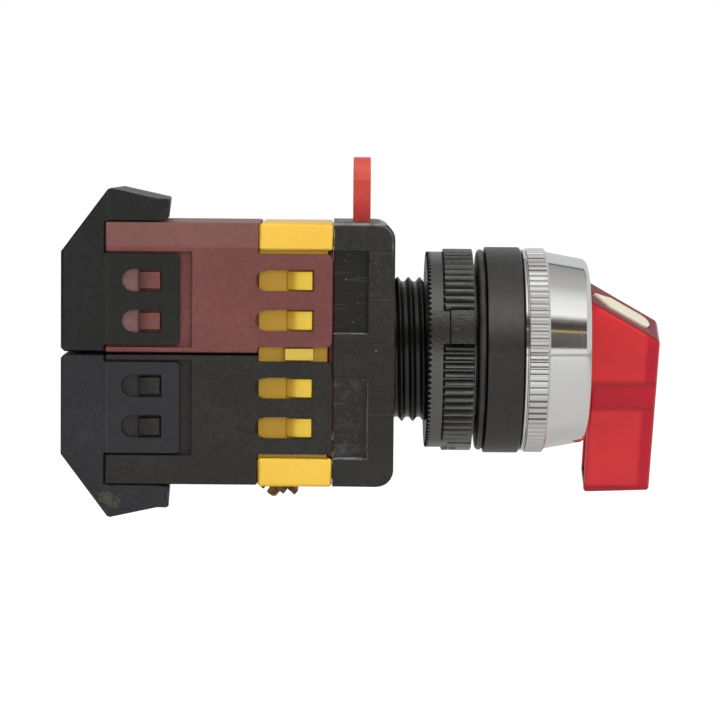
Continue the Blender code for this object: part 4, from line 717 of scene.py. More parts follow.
@dataclass(frozen=True)
class BaseHolderPlastic(MouldedPlastic):
    """The base holder's black plastic: mould lines, rubs with painted highlights, painted shade,
    dust in the recesses.

    Attributes:
        line_start: Where the mould's lines start along X.
        line_heights: Their heights along Z.
        recess: The recesses' (low, high) along X.
        levels: The recesses' (low, high) distance from the middle along Z.
        top: The height of the top edge, rubbed and given a painted highlight.
        corner: The upper corner's middle along X and Z, and its radius.
    """

    line_start: float = -0.0157
    line_heights: Tuple[float, ...] = (0.0145, 0.0078, -0.0085)
    recess: Tuple[float, float] = (-0.0209, -0.0160)
    levels: Tuple[float, float] = (0.0031, 0.0148)
    top: float = 0.0186
    corner: Tuple[float, float, float] = (-0.0146, 0.0164, 0.0024)

    LINE_WIDTH = 0.12 * MM
    EDGE_LINE_WIDTH = 0.16 * MM
    RECESS_FADE = 0.1 * MM
    RECESS_SHADE_SHARE = 0.4
    CROWN_INSIDE = (0.55 * MM, 0.42 * MM)
    CROWN_OUTSIDE = (0.16 * MM, 0.28 * MM)
    CROWN_RISE = (13.0 * MM, 16.5 * MM)
    DEBRIS_BELOW = (-10.5 * MM, -12.0 * MM)
    DEBRIS_ABOVE = (14.8 * MM, 15.6 * MM)
    PALE = (0.34, 0.33, 0.32)
    DEBRIS = (0.50, 0.42, 0.30)

    def strip(self, value: Signal, middle: float, width: float) -> Signal:
        """Return 1 on a thin line where a value meets a level, and 0 off it."""
        return (value - middle).magnitude().ramp(width, width / 3)

    def mould_lines(self, along: Signal, up: Signal) -> Value:
        """Find the mould's lines on the front part.

        Args:
            along: The place along X.
            up: The place along Z.

        Returns:
            1 on a line and 0 off it.
        """
        in_front = along.above(self.line_start)
        lines: Value = 0.0
        for level in self.line_heights:
            lines = self.strip(up, level, self.LINE_WIDTH) * in_front + lines
        return lines

    def lit_and_rubbed_edges(
        self, along: Signal, up: Signal, in_recess: Signal, breaks: Signal
    ) -> Signal:
        """Find pale lines on the recesses' edges and on the top: painted highlights, broken like
        rubs.

        Args:
            along: The place along X.
            up: The place along Z.
            in_recess: 1 where the recesses lie along X.
            breaks: Where the lines are broken.

        Returns:
            How strongly each place shows the painted highlight and rub.
        """
        end, (low, high) = self.recess[1], self.levels
        lower = self.strip(up, low, self.EDGE_LINE_WIDTH) + self.strip(up, -high, self.EDGE_LINE_WIDTH)
        upright = self.strip(along, end, self.EDGE_LINE_WIDTH) * (1.0 - up.above(-low)) * up.above(-high)
        # Painted highlight along the top edge, where it catches the overhead light.
        crest = self.strip(up, self.top, self.EDGE_LINE_WIDTH * 1.4)
        return (lower * in_recess * 0.75 + upright * 0.35) * breaks + crest * (breaks * 0.4 + 0.4)

    def recess_dirt(self, sheet: NodeSheet, place: Signal, below: Signal) -> Signal:
        """Scatter dust and haze over the recesses, more in the lower one.

        Args:
            sheet: The material's sheet.
            place: The object's own coordinates.
            below: 1 in the lower half.

        Returns:
            How strongly the dirt shows.
        """
        dust = sheet.specks(place, 1500.0, 0.17, 0.30) * 0.45
        dust = dust + sheet.specks(place, 720.0, 0.11, 0.30)
        dust = dust + sheet.specks(place, 2300.0, 0.24, 0.40) * (below * 0.35)
        haze = sheet.noise(place, 480.0, 4.0, 0.7).ramp(0.50, 0.80) * below
        return dust * 0.65 + haze * 0.20

    def corner_highlight(self, along: Signal, up: Signal) -> Signal:
        """Find the painted highlight: a pale crescent just inside the upper corner's round, where
        it catches light.

        Args:
            along: The place along X.
            up: The place along Z.

        Returns:
            1 on the crescent and 0 off it.
        """
        x, z, radius = self.corner
        aside = (along - x) * along.above(x)
        above = (up - z) * up.above(z)
        away = aside * aside + above * above
        inside = [(radius - depth) ** 2 for depth in self.CROWN_INSIDE]
        outside = [(radius - depth) ** 2 for depth in self.CROWN_OUTSIDE]
        return away.ramp(*inside) * away.ramp(*outside) * up.ramp(*self.CROWN_RISE)

    def rear_debris(self, sheet: NodeSheet, place: Signal) -> Signal:
        """Scatter swarf along the two ends of the rear edge.

        Args:
            sheet: The material's sheet.
            place: The object's own coordinates.

        Returns:
            How strongly the swarf shows.
        """
        along, _, up = sheet.axes(place)
        grains = sheet.noise(place, 700.0, 3.0).ramp(0.52, 0.60)
        ends = up.ramp(*self.DEBRIS_BELOW) + up.ramp(*self.DEBRIS_ABOVE)
        return self.strip(along, self.recess[0], self.EDGE_LINE_WIDTH) * grains * ends

    def surface(self, sheet: NodeSheet, place: Signal) -> Surface:
        """Work out the plain surface with the lines, the rubs, the painted highlights and shade and
        the dust added.

        Args:
            sheet: The material's sheet.
            place: The object's own coordinates.

        Returns:
            The tone, the roughness and the height of the surface.
        """
        tone, rough, height = super().surface(sheet, place)
        along, _, up = sheet.axes(place)
        end, (low, high) = self.recess[1], self.levels
        level = up.magnitude()
        upper = up.above(0.0)
        in_recess = along.ramp(end, end - self.RECESS_FADE)
        inside = in_recess * level.above(low) * (1.0 - level.above(high))
        breaks = sheet.noise(place, 900.0, 3.0, 0.6).ramp(0.36, 0.56)
        lines = self.mould_lines(along, up)
        flecks = sheet.specks(place, 420.0, 0.07, 0.35)
        long_way = sheet.mapped(place, (0.05, 1.0, 1.0), (0.0, 11.0, 0.0))
        scratch = sheet.noise(long_way, 3600.0, 2.0).ramp(0.62, 0.75)
        layers = [
            (lines * 0.10, self.PALE),
            # Pale edge lines: painted highlights where the edges catch light, broken like rubs.
            (self.lit_and_rubbed_edges(along, up, in_recess, breaks), self.PALE),
            # Painted shade darkens the upper recess.
            (inside * upper * 0.8, self.darker(self.RECESS_SHADE_SHARE)),
            (inside * self.recess_dirt(sheet, place, 1.0 - upper), self.PALE),
            (flecks * 0.5, self.PALE),
            # Painted highlight on the upper corner's round.
            (self.corner_highlight(along, up) * (breaks * 0.22 + 0.08), self.PALE),
            (self.rear_debris(sheet, place) * 0.85, self.DEBRIS),
            (scratch * inside * 0.10, self.PALE),
        ]
        return sheet.layered(tone, layers), rough, height + lines * 3.0


@dataclass(frozen=True)
class LampBlockPlastic(MouldedPlastic):
    """The lamp block's yellow plastic, with painted shade in its recesses and on the hooks' ramps.

    Attributes:
        skin: How far the outer faces lie from the middle.
        ramp: Where the ramps end and where they start along X.
        hooks: The lowest and the highest level of the hooks.
    """

    skin: float = 0.0148
    ramp: Tuple[float, float] = (-0.0257, -0.0273)
    hooks: Tuple[float, float] = (0.0012, 0.0143)

    RECESS_DEPTH = (0.3 * MM, 0.8 * MM)
    RECESS_SHADE_TONE = (0.63, 0.355, 0.026)
    RAMP_SHADE_TONE = (0.60, 0.375, 0.030)
    HOOK_TONE = (0.86, 0.585, 0.066)
    RIB_TONE = (0.72, 0.50, 0.078)

    def surface(self, sheet: NodeSheet, place: Signal) -> Surface:
        """Work out the plain surface with painted shade in the recesses and on the ramps.

        Args:
            sheet: The material's sheet.
            place: The object's own coordinates.

        Returns:
            The tone, the roughness and the height of the surface.
        """
        tone, rough, height = super().surface(sheet, place)
        along, across, up = sheet.axes(place)
        level = up.magnitude()
        low, high = self.hooks
        inner = 1.0 - level.above(high)
        on_hooks = level.above(low) * inner
        floors = [self.skin - depth for depth in self.RECESS_DEPTH]
        # Painted shade on the recessed floors.
        deep = across.magnitude().ramp(*floors) * inner
        layers = [
            (1.0 - level.above(low), self.RIB_TONE),
            (on_hooks, self.HOOK_TONE),
            # Painted shade on the ramps, which face away from the light.
            (along.ramp(*self.ramp) * on_hooks, self.RAMP_SHADE_TONE),
            (deep * 0.9, self.RECESS_SHADE_TONE),
        ]
        return sheet.layered(tone, layers), rough, height


@dataclass(frozen=True)
class LeverPlastic(MouldedPlastic):
    """The lever's red plastic: painted highlight on its tip, a mould line, painted shade at its
    foot.

    Attributes:
        mark: The height of the mould line.
        foot: Between which heights the painted shade deepens towards the foot.
    """

    mark: float = 0.0249
    foot: Tuple[float, float] = (0.0225, 0.0200)

    TIP_FADE = 0.2 * MM
    LINE_FADE = (0.14 * MM, 0.04 * MM)
    PALE = (0.80, 0.16, 0.12)
    SHADED = (0.50, 0.036, 0.028)

    def surface(self, sheet: NodeSheet, place: Signal) -> Surface:
        """Work out the plain surface with the line, the painted highlight and the painted shade
        added.

        Args:
            sheet: The material's sheet.
            place: The object's own coordinates.

        Returns:
            The tone, the roughness and the height of the surface.
        """
        tone, rough, height = super().surface(sheet, place)
        _, _, up = sheet.axes(place)
        layers = [
            # Painted highlight: the tip is paler where its round turns up to the light.
            (up.ramp(self.mark, self.mark + self.TIP_FADE) * 0.25, self.PALE),
            # Painted shade towards the foot.
            (up.ramp(*self.foot) * 0.8, self.SHADED),
            ((up - self.mark).magnitude().ramp(*self.LINE_FADE) * 0.55, self.PALE),
        ]
        return sheet.layered(tone, layers), rough, height


@dataclass(frozen=True)
class HousingPlastic(MouldedPlastic):
    """A contact block's plastic: paler window floors and painted shade on the catches' lead side.

    Attributes:
        windows: The cover windows' (low, high) along X.
        levels: Their (low, high) distance from the middle along Z.
        catch: Where a catch starts along X, and where its shading ends.
        window_floor_tone: The paler tone of the window floors.
        strip: How strongly the strip along the top is paler, from 0 to 1.
    """

    windows: Tuple[float, float] = (-0.0511, -0.0451)
    levels: Tuple[float, float] = (0.0026, 0.0128)
    catch: Tuple[float, float] = (-0.04862, -0.0464)
    window_floor_tone: Colour = (0.034, 0.031, 0.032)
    strip: float = 0.0

    CATCH_SHARE = 0.25
    STRIP_START = 0.0149
    STRIP_FADE = 0.5 * MM
    STRIP_TONE = (0.255, 0.120, 0.106)

    def surface(self, sheet: NodeSheet, place: Signal) -> Surface:
        """Work out the plain surface with the floors, the catches and the strip toned.

        Args:
            sheet: The material's sheet.
            place: The object's own coordinates.

        Returns:
            The tone, the roughness and the height of the surface.
        """
        tone, rough, height = super().surface(sheet, place)
        along, _, up = sheet.axes(place)
        (start, end), (low, high) = self.windows, self.levels
        level = up.magnitude()
        seen = along.above(start) * (1.0 - along.above(end)) * level.above(low)
        seen = seen * (1.0 - level.above(high))
        lead, clear = self.catch
        on_catch = along.above(lead)
        cloud = sheet.noise(place, 900.0, 3.0, 0.6).ramp(0.2, 0.7)
        on_strip = up.ramp(self.STRIP_START, self.STRIP_START + self.STRIP_FADE)
        layers = [
            (seen * (1.0 - on_catch) * (cloud * 0.4 + 0.4), self.window_floor_tone),
            # Painted shade on each catch, darker towards its lead side.
            (seen * on_catch * along.ramp(clear, lead) * 0.8, self.darker(self.CATCH_SHARE)),
            (on_strip * self.strip, self.STRIP_TONE),
        ]
        return sheet.layered(tone, layers), rough, height


@dataclass(frozen=True)
class CoverPlastic(MouldedPlastic):
    """A terminal cover's plastic: a paler snap panel, a joint line, flecks and a scuff.

    Attributes:
        joint: Where the snap panel starts along X.
        panel: The panel's (low, high) distance from the middle along Z.
        panel_tone: The panel's tone.
        line: How strongly the joint line shows, from 0 to 1.
        scuff: The scuffed corner's place along X and Z, or None.
    """

    joint: float = -0.0530
    panel: Tuple[float, float] = (0.0010, 0.0148)
    panel_tone: Colour = (0.010, 0.0095, 0.0092)
    line: float = 0.03
    scuff: Optional[Tuple[float, float]] = None

    HOOD_LEVEL = 0.0193
    JOINT_FADE = 0.05 * MM
    LINE_FADE = (0.12 * MM, 0.04 * MM)
    PALE = (0.30, 0.29, 0.28)
    SCUFF_TONE = (0.075, 0.070, 0.054)
    SCUFF_SIZE = (0.0021, 0.0015)

    def surface(self, sheet: NodeSheet, place: Signal) -> Surface:
        """Work out the plain surface with the panel, the line, the flecks and the scuff.

        Args:
            sheet: The material's sheet.
            place: The object's own coordinates.

        Returns:
            The tone, the roughness and the height of the surface.
        """
        tone, rough, height = super().surface(sheet, place)
        along, across, up = sheet.axes(place)
        low, high = self.panel
        level = up.magnitude()
        past = along.ramp(self.joint - self.JOINT_FADE, self.joint + self.JOINT_FADE)
        on_panel = past * level.above(low) * (1.0 - level.above(high))
        line = (along - self.joint).magnitude().ramp(*self.LINE_FADE)
        flecks = sheet.specks(place, 1700.0, 0.16, 0.30) * level.above(self.HOOD_LEVEL)
        layers = [
            (on_panel * 0.6, self.panel_tone),
            (line * self.line, self.PALE),
            (flecks * 0.16, self.PALE),
        ]
        tone = sheet.layered(tone, layers)
        if self.scuff is not None:
            (x, z), (wide, tall) = self.scuff, self.SCUFF_SIZE
            aside, above = (along - x) / wide, (up - z) / tall
            torn = sheet.noise(place, 1300.0, 4.0, 0.7)
            worn = (aside * aside + above * above + aside * above + torn * 2.6).ramp(1.95, 1.75)
            worn = worn * (1.0 - across.above(0.0))
            tone = sheet.blend(worn * torn.ramp(0.25, 0.6), tone, self.SCUFF_TONE)
            rough, height = rough + worn * 0.3, height + worn * torn * 6.0
        return tone, rough, height


@dataclass(frozen=True)
class NutPlastic(MouldedPlastic):
    """The nut's black plastic, with a painted highlight on the crests of its ribs.

    Attributes:
        crest: Between which distances from the axis the painted highlight begins.
        pad: Between which heights the near pad lies, which has no painted highlight.
    """

    crest: Tuple[float, float] = (0.01452, 0.01474)
    pad: Tuple[float, float] = (-0.0002, 0.0066)

    CREST_HIGHLIGHT_TONE = (0.120, 0.117, 0.117)

    def surface(self, sheet: NodeSheet, place: Signal) -> Surface:
        """Work out the plain surface with a painted highlight on the crests.

        Args:
            sheet: The material's sheet.
            place: The object's own coordinates.

        Returns:
            The tone, the roughness and the height of the surface.
        """
        tone, rough, height = super().surface(sheet, place)
        _, across, up = sheet.axes(place)
        start, full = self.crest
        low, high = self.pad
        away = across * across + up * up
        ribs = 1.0 - up.above(low) * (1.0 - up.above(high))
        # Painted highlight on the rib crests, standing in for their glint.
        rubs = away.ramp(start * start, full * full) * ribs
        long_way = sheet.mapped(place, (0.25, 1.0, 1.0))
        patches = sheet.noise(long_way, 1500.0, 3.0, 0.6).ramp(0.3, 0.7)
        tone = sheet.blend(rubs * (patches * 0.45 + 0.12), tone, self.CREST_HIGHLIGHT_TONE)
        return tone, rough, height


@dataclass(frozen=True)
class HeadPlastic(MouldedPlastic):
    """The head's black plastic: satin ring with dust and painted sheen on top; darker polished
    thread.

    Attributes:
        thread_end: Where the thread ends along X.
        polish: The thread's roughness.
        dust_and_sheen: Between which heights the pale band on the ring's upper side begins: dust
            and painted sheen.
    """

    thread_end: float = 0.0008
    polish: float = 0.20
    dust_and_sheen: Tuple[float, float] = (0.0015, 0.0052)

    THREAD_FADE = 0.5 * MM
    THREAD_SHARE = 0.35
    DUST_AND_SHEEN_FADE = (2.0 * MM, 4.5 * MM)
    DUST_AND_SHEEN_TONE = (0.082, 0.079, 0.076)

    def surface(self, sheet: NodeSheet, place: Signal) -> Surface:
        """Work out the plain surface with the dust and painted sheen laid on and the thread
        polished.

        Args:
            sheet: The material's sheet.
            place: The object's own coordinates.

        Returns:
            The tone, the roughness and the height of the surface.
        """
        tone, rough, height = super().surface(sheet, place)
        along, _, up = sheet.axes(place)
        on_thread = along.ramp(self.thread_end, self.thread_end - self.THREAD_FADE)
        start, full = self.dust_and_sheen
        thin = up.ramp(*[full + rise for rise in self.DUST_AND_SHEEN_FADE])
        dust_and_sheen = up.ramp(start, full) * (1.0 - thin * 0.75)
        patches = sheet.noise(place, 330.0, 4.0, 0.65).ramp(0.25, 0.75)
        layers = [
            # Pale mottled band on the upper side: partly dust, partly painted sheen where the ring
            # faces the light.
            (dust_and_sheen * (patches * 0.5 + 0.45), self.DUST_AND_SHEEN_TONE),
            (on_thread, self.darker(self.THREAD_SHARE)),
        ]
        rough = rough - on_thread * (self.roughness - self.polish)
        return sheet.layered(tone, layers), rough, height


@dataclass(frozen=True)
class ChromePlate:
    """Bright chrome on a turned piece: faint waves, fine rings, rubs, pits, painted light and shade
    on the knurl.

    Attributes:
        name: The material's name.
        colour: The plate's tone.
        roughness: Its roughness where it is clean.
        band: The knurled band's (low, high) along X.
        groove: The distances from the axis of the knurl's crests and grooves.
    """

    name: str = "bright_chrome"
    colour: Colour = (0.86, 0.86, 0.855)
    roughness: float = 0.05
    band: Tuple[float, float] = (0.0071, 0.0099)
    groove: Tuple[float, float] = (0.01486, 0.01477)

    WAVE_SCALE = 170.0
    RING_SCALE = 5200.0
    RUB_SCALE = 2600.0
    PIT_SCALE = 520.0
    WAVE_HEIGHT = 0.010 * MM
    LOW_SIDE = -9.0 * MM
    HAZE_MIDDLE = 5.0 * MM
    HAZE_FADE = (6.0 * MM, 3.5 * MM)
    RUB_TONE = (0.60, 0.59, 0.57)
    BAND_LIGHT_TONE = (1.0, 1.0, 1.0)
    LOW_BAND_SHADE_TONE = (0.72, 0.72, 0.72)
    GROOVE_SHADE_TONE = (0.16, 0.15, 0.14)
    PIT_TONE = (0.22, 0.20, 0.18)

    def material(self) -> bpy.types.Material:
        """Make the material.

        Returns:
            The material, with its nodes.
        """
        material, sheet, shader = new_material(self.name)
        place = sheet.place()
        slow = sheet.noise(place, self.WAVE_SCALE, 2.0)
        rings = sheet.noise(sheet.mapped(place, (1.0, 0.02, 0.02)), self.RING_SCALE, 2.0)
        slanted = sheet.mapped(place, (1.0, 0.1, 0.1), (35.0, 10.0, 0.0))
        rubs = sheet.noise(slanted, self.RUB_SCALE, 2.0).ramp(0.64, 0.74)
        pits = sheet.specks(place, self.PIT_SCALE, 0.07, 0.16)
        along, across, up = sheet.axes(place)
        start, end = self.band
        on_band = along.above(start) * (1.0 - along.above(end))
        crest, root = self.groove
        groove = (across * across + up * up).ramp(crest * crest, root * root)
        hazy = (up - self.HAZE_MIDDLE).magnitude().ramp(*self.HAZE_FADE)
        # Painted light and shade on the knurl: whiter on its upper side, darker below and in its
        # grooves.
        band_light_and_shade = sheet.blend(up.ramp(0.0, self.LOW_SIDE), self.BAND_LIGHT_TONE, self.LOW_BAND_SHADE_TONE)
        band_light_and_shade = sheet.blend(groove * 0.6, band_light_and_shade, self.GROOVE_SHADE_TONE)
        layers = [
            (rubs * 0.10, self.RUB_TONE),
            (on_band, band_light_and_shade),
            (pits * 0.85, self.PIT_TONE),
        ]
        rough = self.roughness + rings * 0.07 + rubs * 0.10 + pits * 0.3
        height = slow * 2.2 + rings * 0.12 - pits * 1.2
        sheet.feed_all(
            shader,
            {
                "Metallic": 1.0,
                "Base Color": sheet.layered(self.colour, layers),
                "Roughness": rough + on_band * (hazy * 0.34 + 0.06),
                "Normal": sheet.bump(height, 1.0, self.WAVE_HEIGHT),
            },
        )
        return material


@dataclass(frozen=True)
class BareMetal:
    """Brass or plated steel: drawn grain, tarnish in patches and small rubs.

    Attributes:
        name: The material's name.
        colour: The clean metal's tone.
        tarnish: The tone of the patches.
        roughness: The clean metal's roughness.
    """

    name: str
    colour: Colour
    tarnish: Colour
    roughness: float = 0.28

    GRAIN_DEPTH = 0.006 * MM

    def material(self) -> bpy.types.Material:
        """Make the material.

        Returns:
            The material, with its nodes.
        """
        material, sheet, shader = new_material(self.name)
        place = sheet.place()
        patches = sheet.noise(place, 420.0, 3.0, 0.6).ramp(0.42, 0.68)
        grain = sheet.noise(sheet.mapped(place, (0.06, 1.0, 1.0)), 7000.0, 2.0)
        sheet.feed_all(
            shader,
            {
                "Metallic": 1.0,
                "Base Color": sheet.blend(patches * 0.8, self.colour, self.tarnish),
                "Roughness": self.roughness + patches * 0.2 + (grain - 0.5) * 0.1,
                "Normal": sheet.bump(grain, 1.0, self.GRAIN_DEPTH),
            },
        )
        return material


@dataclass(frozen=True)
class GasketRubber:
    """Dark moulded rubber with a soft shine and faint bloom.

    Attributes:
        name: The material's name.
        colour: The usual tone.
        bloom: The tone where the rubber has bloomed.
    """

    name: str = "gasket_rubber"
    colour: Colour = (0.020, 0.019, 0.019)
    bloom: Colour = (0.060, 0.055, 0.052)

    GRAIN_DEPTH = 0.010 * MM

    def material(self) -> bpy.types.Material:
        """Make the material.

        Returns:
            The material, with its nodes.
        """
        material, sheet, shader = new_material(self.name)
        place = sheet.place()
        slow = sheet.noise(place, 260.0, 3.0)
        fine = sheet.noise(place, 5200.0, 2.0)
        sheet.feed_all(
            shader,
            {
                "Base Color": sheet.blend(slow.ramp(0.35, 0.75), self.colour, self.bloom),
                "Roughness": 0.26 + slow * 0.12 + fine * 0.05,
                "Normal": sheet.bump(fine + slow * 2.0, 1.0, self.GRAIN_DEPTH),
            },
        )
        return material


@dataclass(frozen=True)
class ClearRed:
    """The handle's tinted plastic: painted light where a hollow lies behind its wall, and painted
    shade.

    Attributes:
        name: The material's name.
        solid: The tone over solid plastic.
        hollow: The paler tone over a hollow: painted light coming through the thin wall.
        shade: The tone where a wall behind casts its shadow.
        tilt: The handle's turn about X at rest, in degrees.
        lamp_space: The front hollow's (low, high) along X and along the handle.
        tail_space: The rear hollow's (low, high) along X and along the handle.
        slope_fall: How far the front slope falls for each metre along X.
        slope_level: The height at which the slope's plane meets the axis's start.
    """

    name: str
    solid: Colour
    hollow: Colour
    shade: Colour
    tilt: float
    lamp_space: Tuple[Station, Station]
    tail_space: Tuple[Station, Station]
    slope_fall: float
    slope_level: float

    SOFT_EDGE = 0.4 * MM
    WEB_SHADE = (1.2 * MM, 0.9 * MM)
    FOOT_SHADE = (0.6 * MM, 0.8 * MM)
    WALL_FADE = 0.1 * MM
    SLOPE_FADE = (0.35 * MM, 0.15 * MM)
    WAVE_HEIGHT = 0.012 * MM
    SLOPE_SHADE_TONE = (0.16, 0.018, 0.022)
    SPECK_TONE = (0.85, 0.35, 0.33)

    def box_mask(self, along: Signal, up: Signal, space: Tuple[Station, Station]) -> Signal:
        """Find the places over a hollow.

        Args:
            along: The place along X.
            up: The place along the handle.
            space: The hollow's (low, high) along X and along the handle.

        Returns:
            1 over the hollow and 0 off it, with soft edges.
        """
        (x_low, x_high), (z_low, z_high) = space
        edge = self.SOFT_EDGE
        sides = along.ramp(x_low - edge, x_low + edge) * along.ramp(x_high + edge, x_high - edge)
        ends = up.ramp(z_low - edge, z_low + edge) * up.ramp(z_high + edge, z_high - edge)
        return sides * ends

    def wall_shadow(self, up: Signal, level: float, fades: Station) -> Signal:
        """Return 1 at a wall's level along the handle, fading out below and above it."""
        below, above = fades
        return up.ramp(level - below, level) * up.ramp(level + above, level)

    def material(self) -> bpy.types.Material:
        """Make the material.

        Returns:
            The material, with its nodes.
        """
        material, sheet, shader = new_material(self.name)
        place = sheet.place()
        along, _, up = sheet.axes(sheet.mapped(place, turn=(-self.tilt, 0.0, 0.0)))
        slow = sheet.noise(place, 150.0, 3.0)
        fine = sheet.noise(place, 4200.0, 2.0)
        specks = sheet.specks(place, 420.0, 0.05, 0.10)
        over_lamp = self.box_mask(along, up, self.lamp_space)
        over_tail = self.box_mask(along, up, self.tail_space)
        web_high, (tail_end, web_low) = self.lamp_space[1][0], self.tail_space[1]
        shaded = self.wall_shadow(up, web_high, self.WEB_SHADE)
        shaded = shaded + self.wall_shadow(up, web_low, self.FOOT_SHADE)
        end_wall = up.ramp(tail_end + self.WALL_FADE, tail_end - self.WALL_FADE)
        slope_levels = [self.slope_level - depth for depth in self.SLOPE_FADE]
        on_slope = (along * self.slope_fall + up).ramp(*slope_levels)
        # Painted light over the hollows, painted shadows of the walls behind and painted shade on
        # the slope.
        layers = [
            (over_lamp + over_tail, self.hollow),
            (shaded * 0.6, self.shade),
            (end_wall * 0.55, self.shade),
            (slow.ramp(0.35, 0.75) * 0.22, self.shade),
            (on_slope * 0.92, self.SLOPE_SHADE_TONE),
            (specks * 0.5, self.SPECK_TONE),
        ]
        sheet.feed_all(
            shader,
            {
                "Base Color": sheet.layered(self.solid, layers),
                "Roughness": 0.16 + slow * 0.10 + specks * 0.2,
                "Normal": sheet.bump(slow * 2.0 + fine * 0.3, 1.0, self.WAVE_HEIGHT),
                "Subsurface Weight": 0.35,
                "Subsurface Radius": (0.0030, 0.0005, 0.0005),
                "Subsurface Scale": 1.0,
                "Specular IOR Level": 0.3,
                "Coat Weight": 0.2,
                "Coat Roughness": 0.08,
            },
        )
        return material


@dataclass(frozen=True)
class LampGlass:
    """Thin clear glass with a warm cast and faint waves.

    Attributes:
        name: The material's name.
        colour: The usual tone.
        clear: The tone where it is clearest.
    """

    name: str = "bulb_glass"
    colour: Colour = (0.92, 0.90, 0.86)
    clear: Colour = (0.98, 0.97, 0.95)

    WAVE_HEIGHT = 0.020 * MM

    def material(self) -> bpy.types.Material:
        """Make the material.

        Returns:
            The material, with its nodes.
        """
        material, sheet, shader = new_material(self.name)
        slow = sheet.noise(sheet.place(), 300.0, 2.0)
        sheet.feed_all(
            shader,
            {
                "Base Color": sheet.blend(slow, self.colour, self.clear),
                "Roughness": 0.03 + slow * 0.04,
                "Normal": sheet.bump(slow, 1.0, self.WAVE_HEIGHT),
                "Transmission Weight": 0.9,
            },
        )
        return material


NUT_BLACK = NutPlastic(
    "nut_black", (0.009, 0.0085, 0.0085), (0.015, 0.0145, 0.014), 0.24, shine=0.7, index=1.95
)
UPPER_COVER_BLACK = CoverPlastic(
    "upper_cover_black", (0.0050, 0.0046, 0.0048), (0.015, 0.0145, 0.0148), mottle=1.0
)
LOWER_COVER_BLACK = CoverPlastic(
    "lower_cover_black",
    (0.0135, 0.0135, 0.0180),
    (0.028, 0.028, 0.034),
    mottle=1.0,
    panel_tone=(0.0200, 0.0198, 0.0225),
    line=0.05,
    scuff=(-0.0526, -0.0209),
)
HOUSING_BLACK = HousingPlastic(
    "housing_black", (0.0110, 0.0100, 0.0095), (0.026, 0.0245, 0.0235), mottle=1.0
)
HEAD_BLACK = HeadPlastic(
    "head_black", (0.018, 0.017, 0.0165), (0.026, 0.025, 0.024), 0.38, shine=0.55, mottle=0.8
)
BASE_BLACK = BaseHolderPlastic(
    "base_black", (0.012, 0.011, 0.0105), (0.026, 0.0245, 0.0235), mottle=1.0
)
MAROON = HousingPlastic(
    "maroon_moulding",
    (0.172, 0.047, 0.042),
    (0.215, 0.068, 0.060),
    0.45,
    mottle=0.55,
    window_floor_tone=(0.30, 0.165, 0.158),
    strip=0.42,
)
YELLOW = LampBlockPlastic(
    "yellow_moulding",
    (1.0, 0.590, 0.060),
    (1.0, 0.640, 0.080),
    0.36,
    dust=0.02,
    glow=0.15,
    mottle=0.05,
)
# The retainer's red, darkened as painted shade where it sits in the shadow behind the base.
RETAINER_PAINTED_SHADE = MouldedPlastic("retainer_red_painted_shade", (0.10, 0.010, 0.009), (0.13, 0.014, 0.012), 0.5)
LEVER_RED = LeverPlastic(
    "lever_red", (0.62, 0.052, 0.036), (0.70, 0.070, 0.052), 0.38, dust=0.03, glow=0.2, mottle=0.3
)
WHITE = MouldedPlastic(
    "white_moulding", (0.70, 0.69, 0.66), (0.78, 0.77, 0.74), glow=0.1, mottle=0.1
)
CREAM = MouldedPlastic(
    "cream_moulding",
    (0.82, 0.76, 0.58),
    (0.88, 0.83, 0.67),
    0.35,
    dust=0.04,
    glow=0.15,
    mottle=0.05,
)
BRASS = BareMetal("terminal_brass", (0.20, 0.118, 0.046), (0.060, 0.032, 0.014))
SPRING = BareMetal("spring_steel_wire", (0.50, 0.50, 0.51), (0.30, 0.29, 0.28), 0.30)
PLATED = BareMetal("plated_clamp", (0.62, 0.61, 0.58), (0.42, 0.40, 0.36), 0.34)

Finish = Union[MouldedPlastic, ChromePlate, BareMetal, GasketRubber, ClearRed, LampGlass]


@dataclass(frozen=True)
class Reach:
    """A move of the points of a piece that lie in a box.

    Attributes:
        low: The box's low corner.
        high: The box's high corner.
        shift: The move.
    """

    low: Tuple[float, float, float]
    high: Tuple[float, float, float]
    shift: Tuple[float, float, float]

    @classmethod
    def section(cls, start: float, end: float, half: float, move: float) -> "Reach":
        """Return a move along X of all the points between two stations."""
        return cls((start, -half, -half), (end, half, half), (move, 0.0, 0.0))

    def holds(self, point: Vector) -> bool:
        """Say whether a point lies in the box."""
        return all(self.low[axis] < point[axis] < self.high[axis] for axis in range(3))


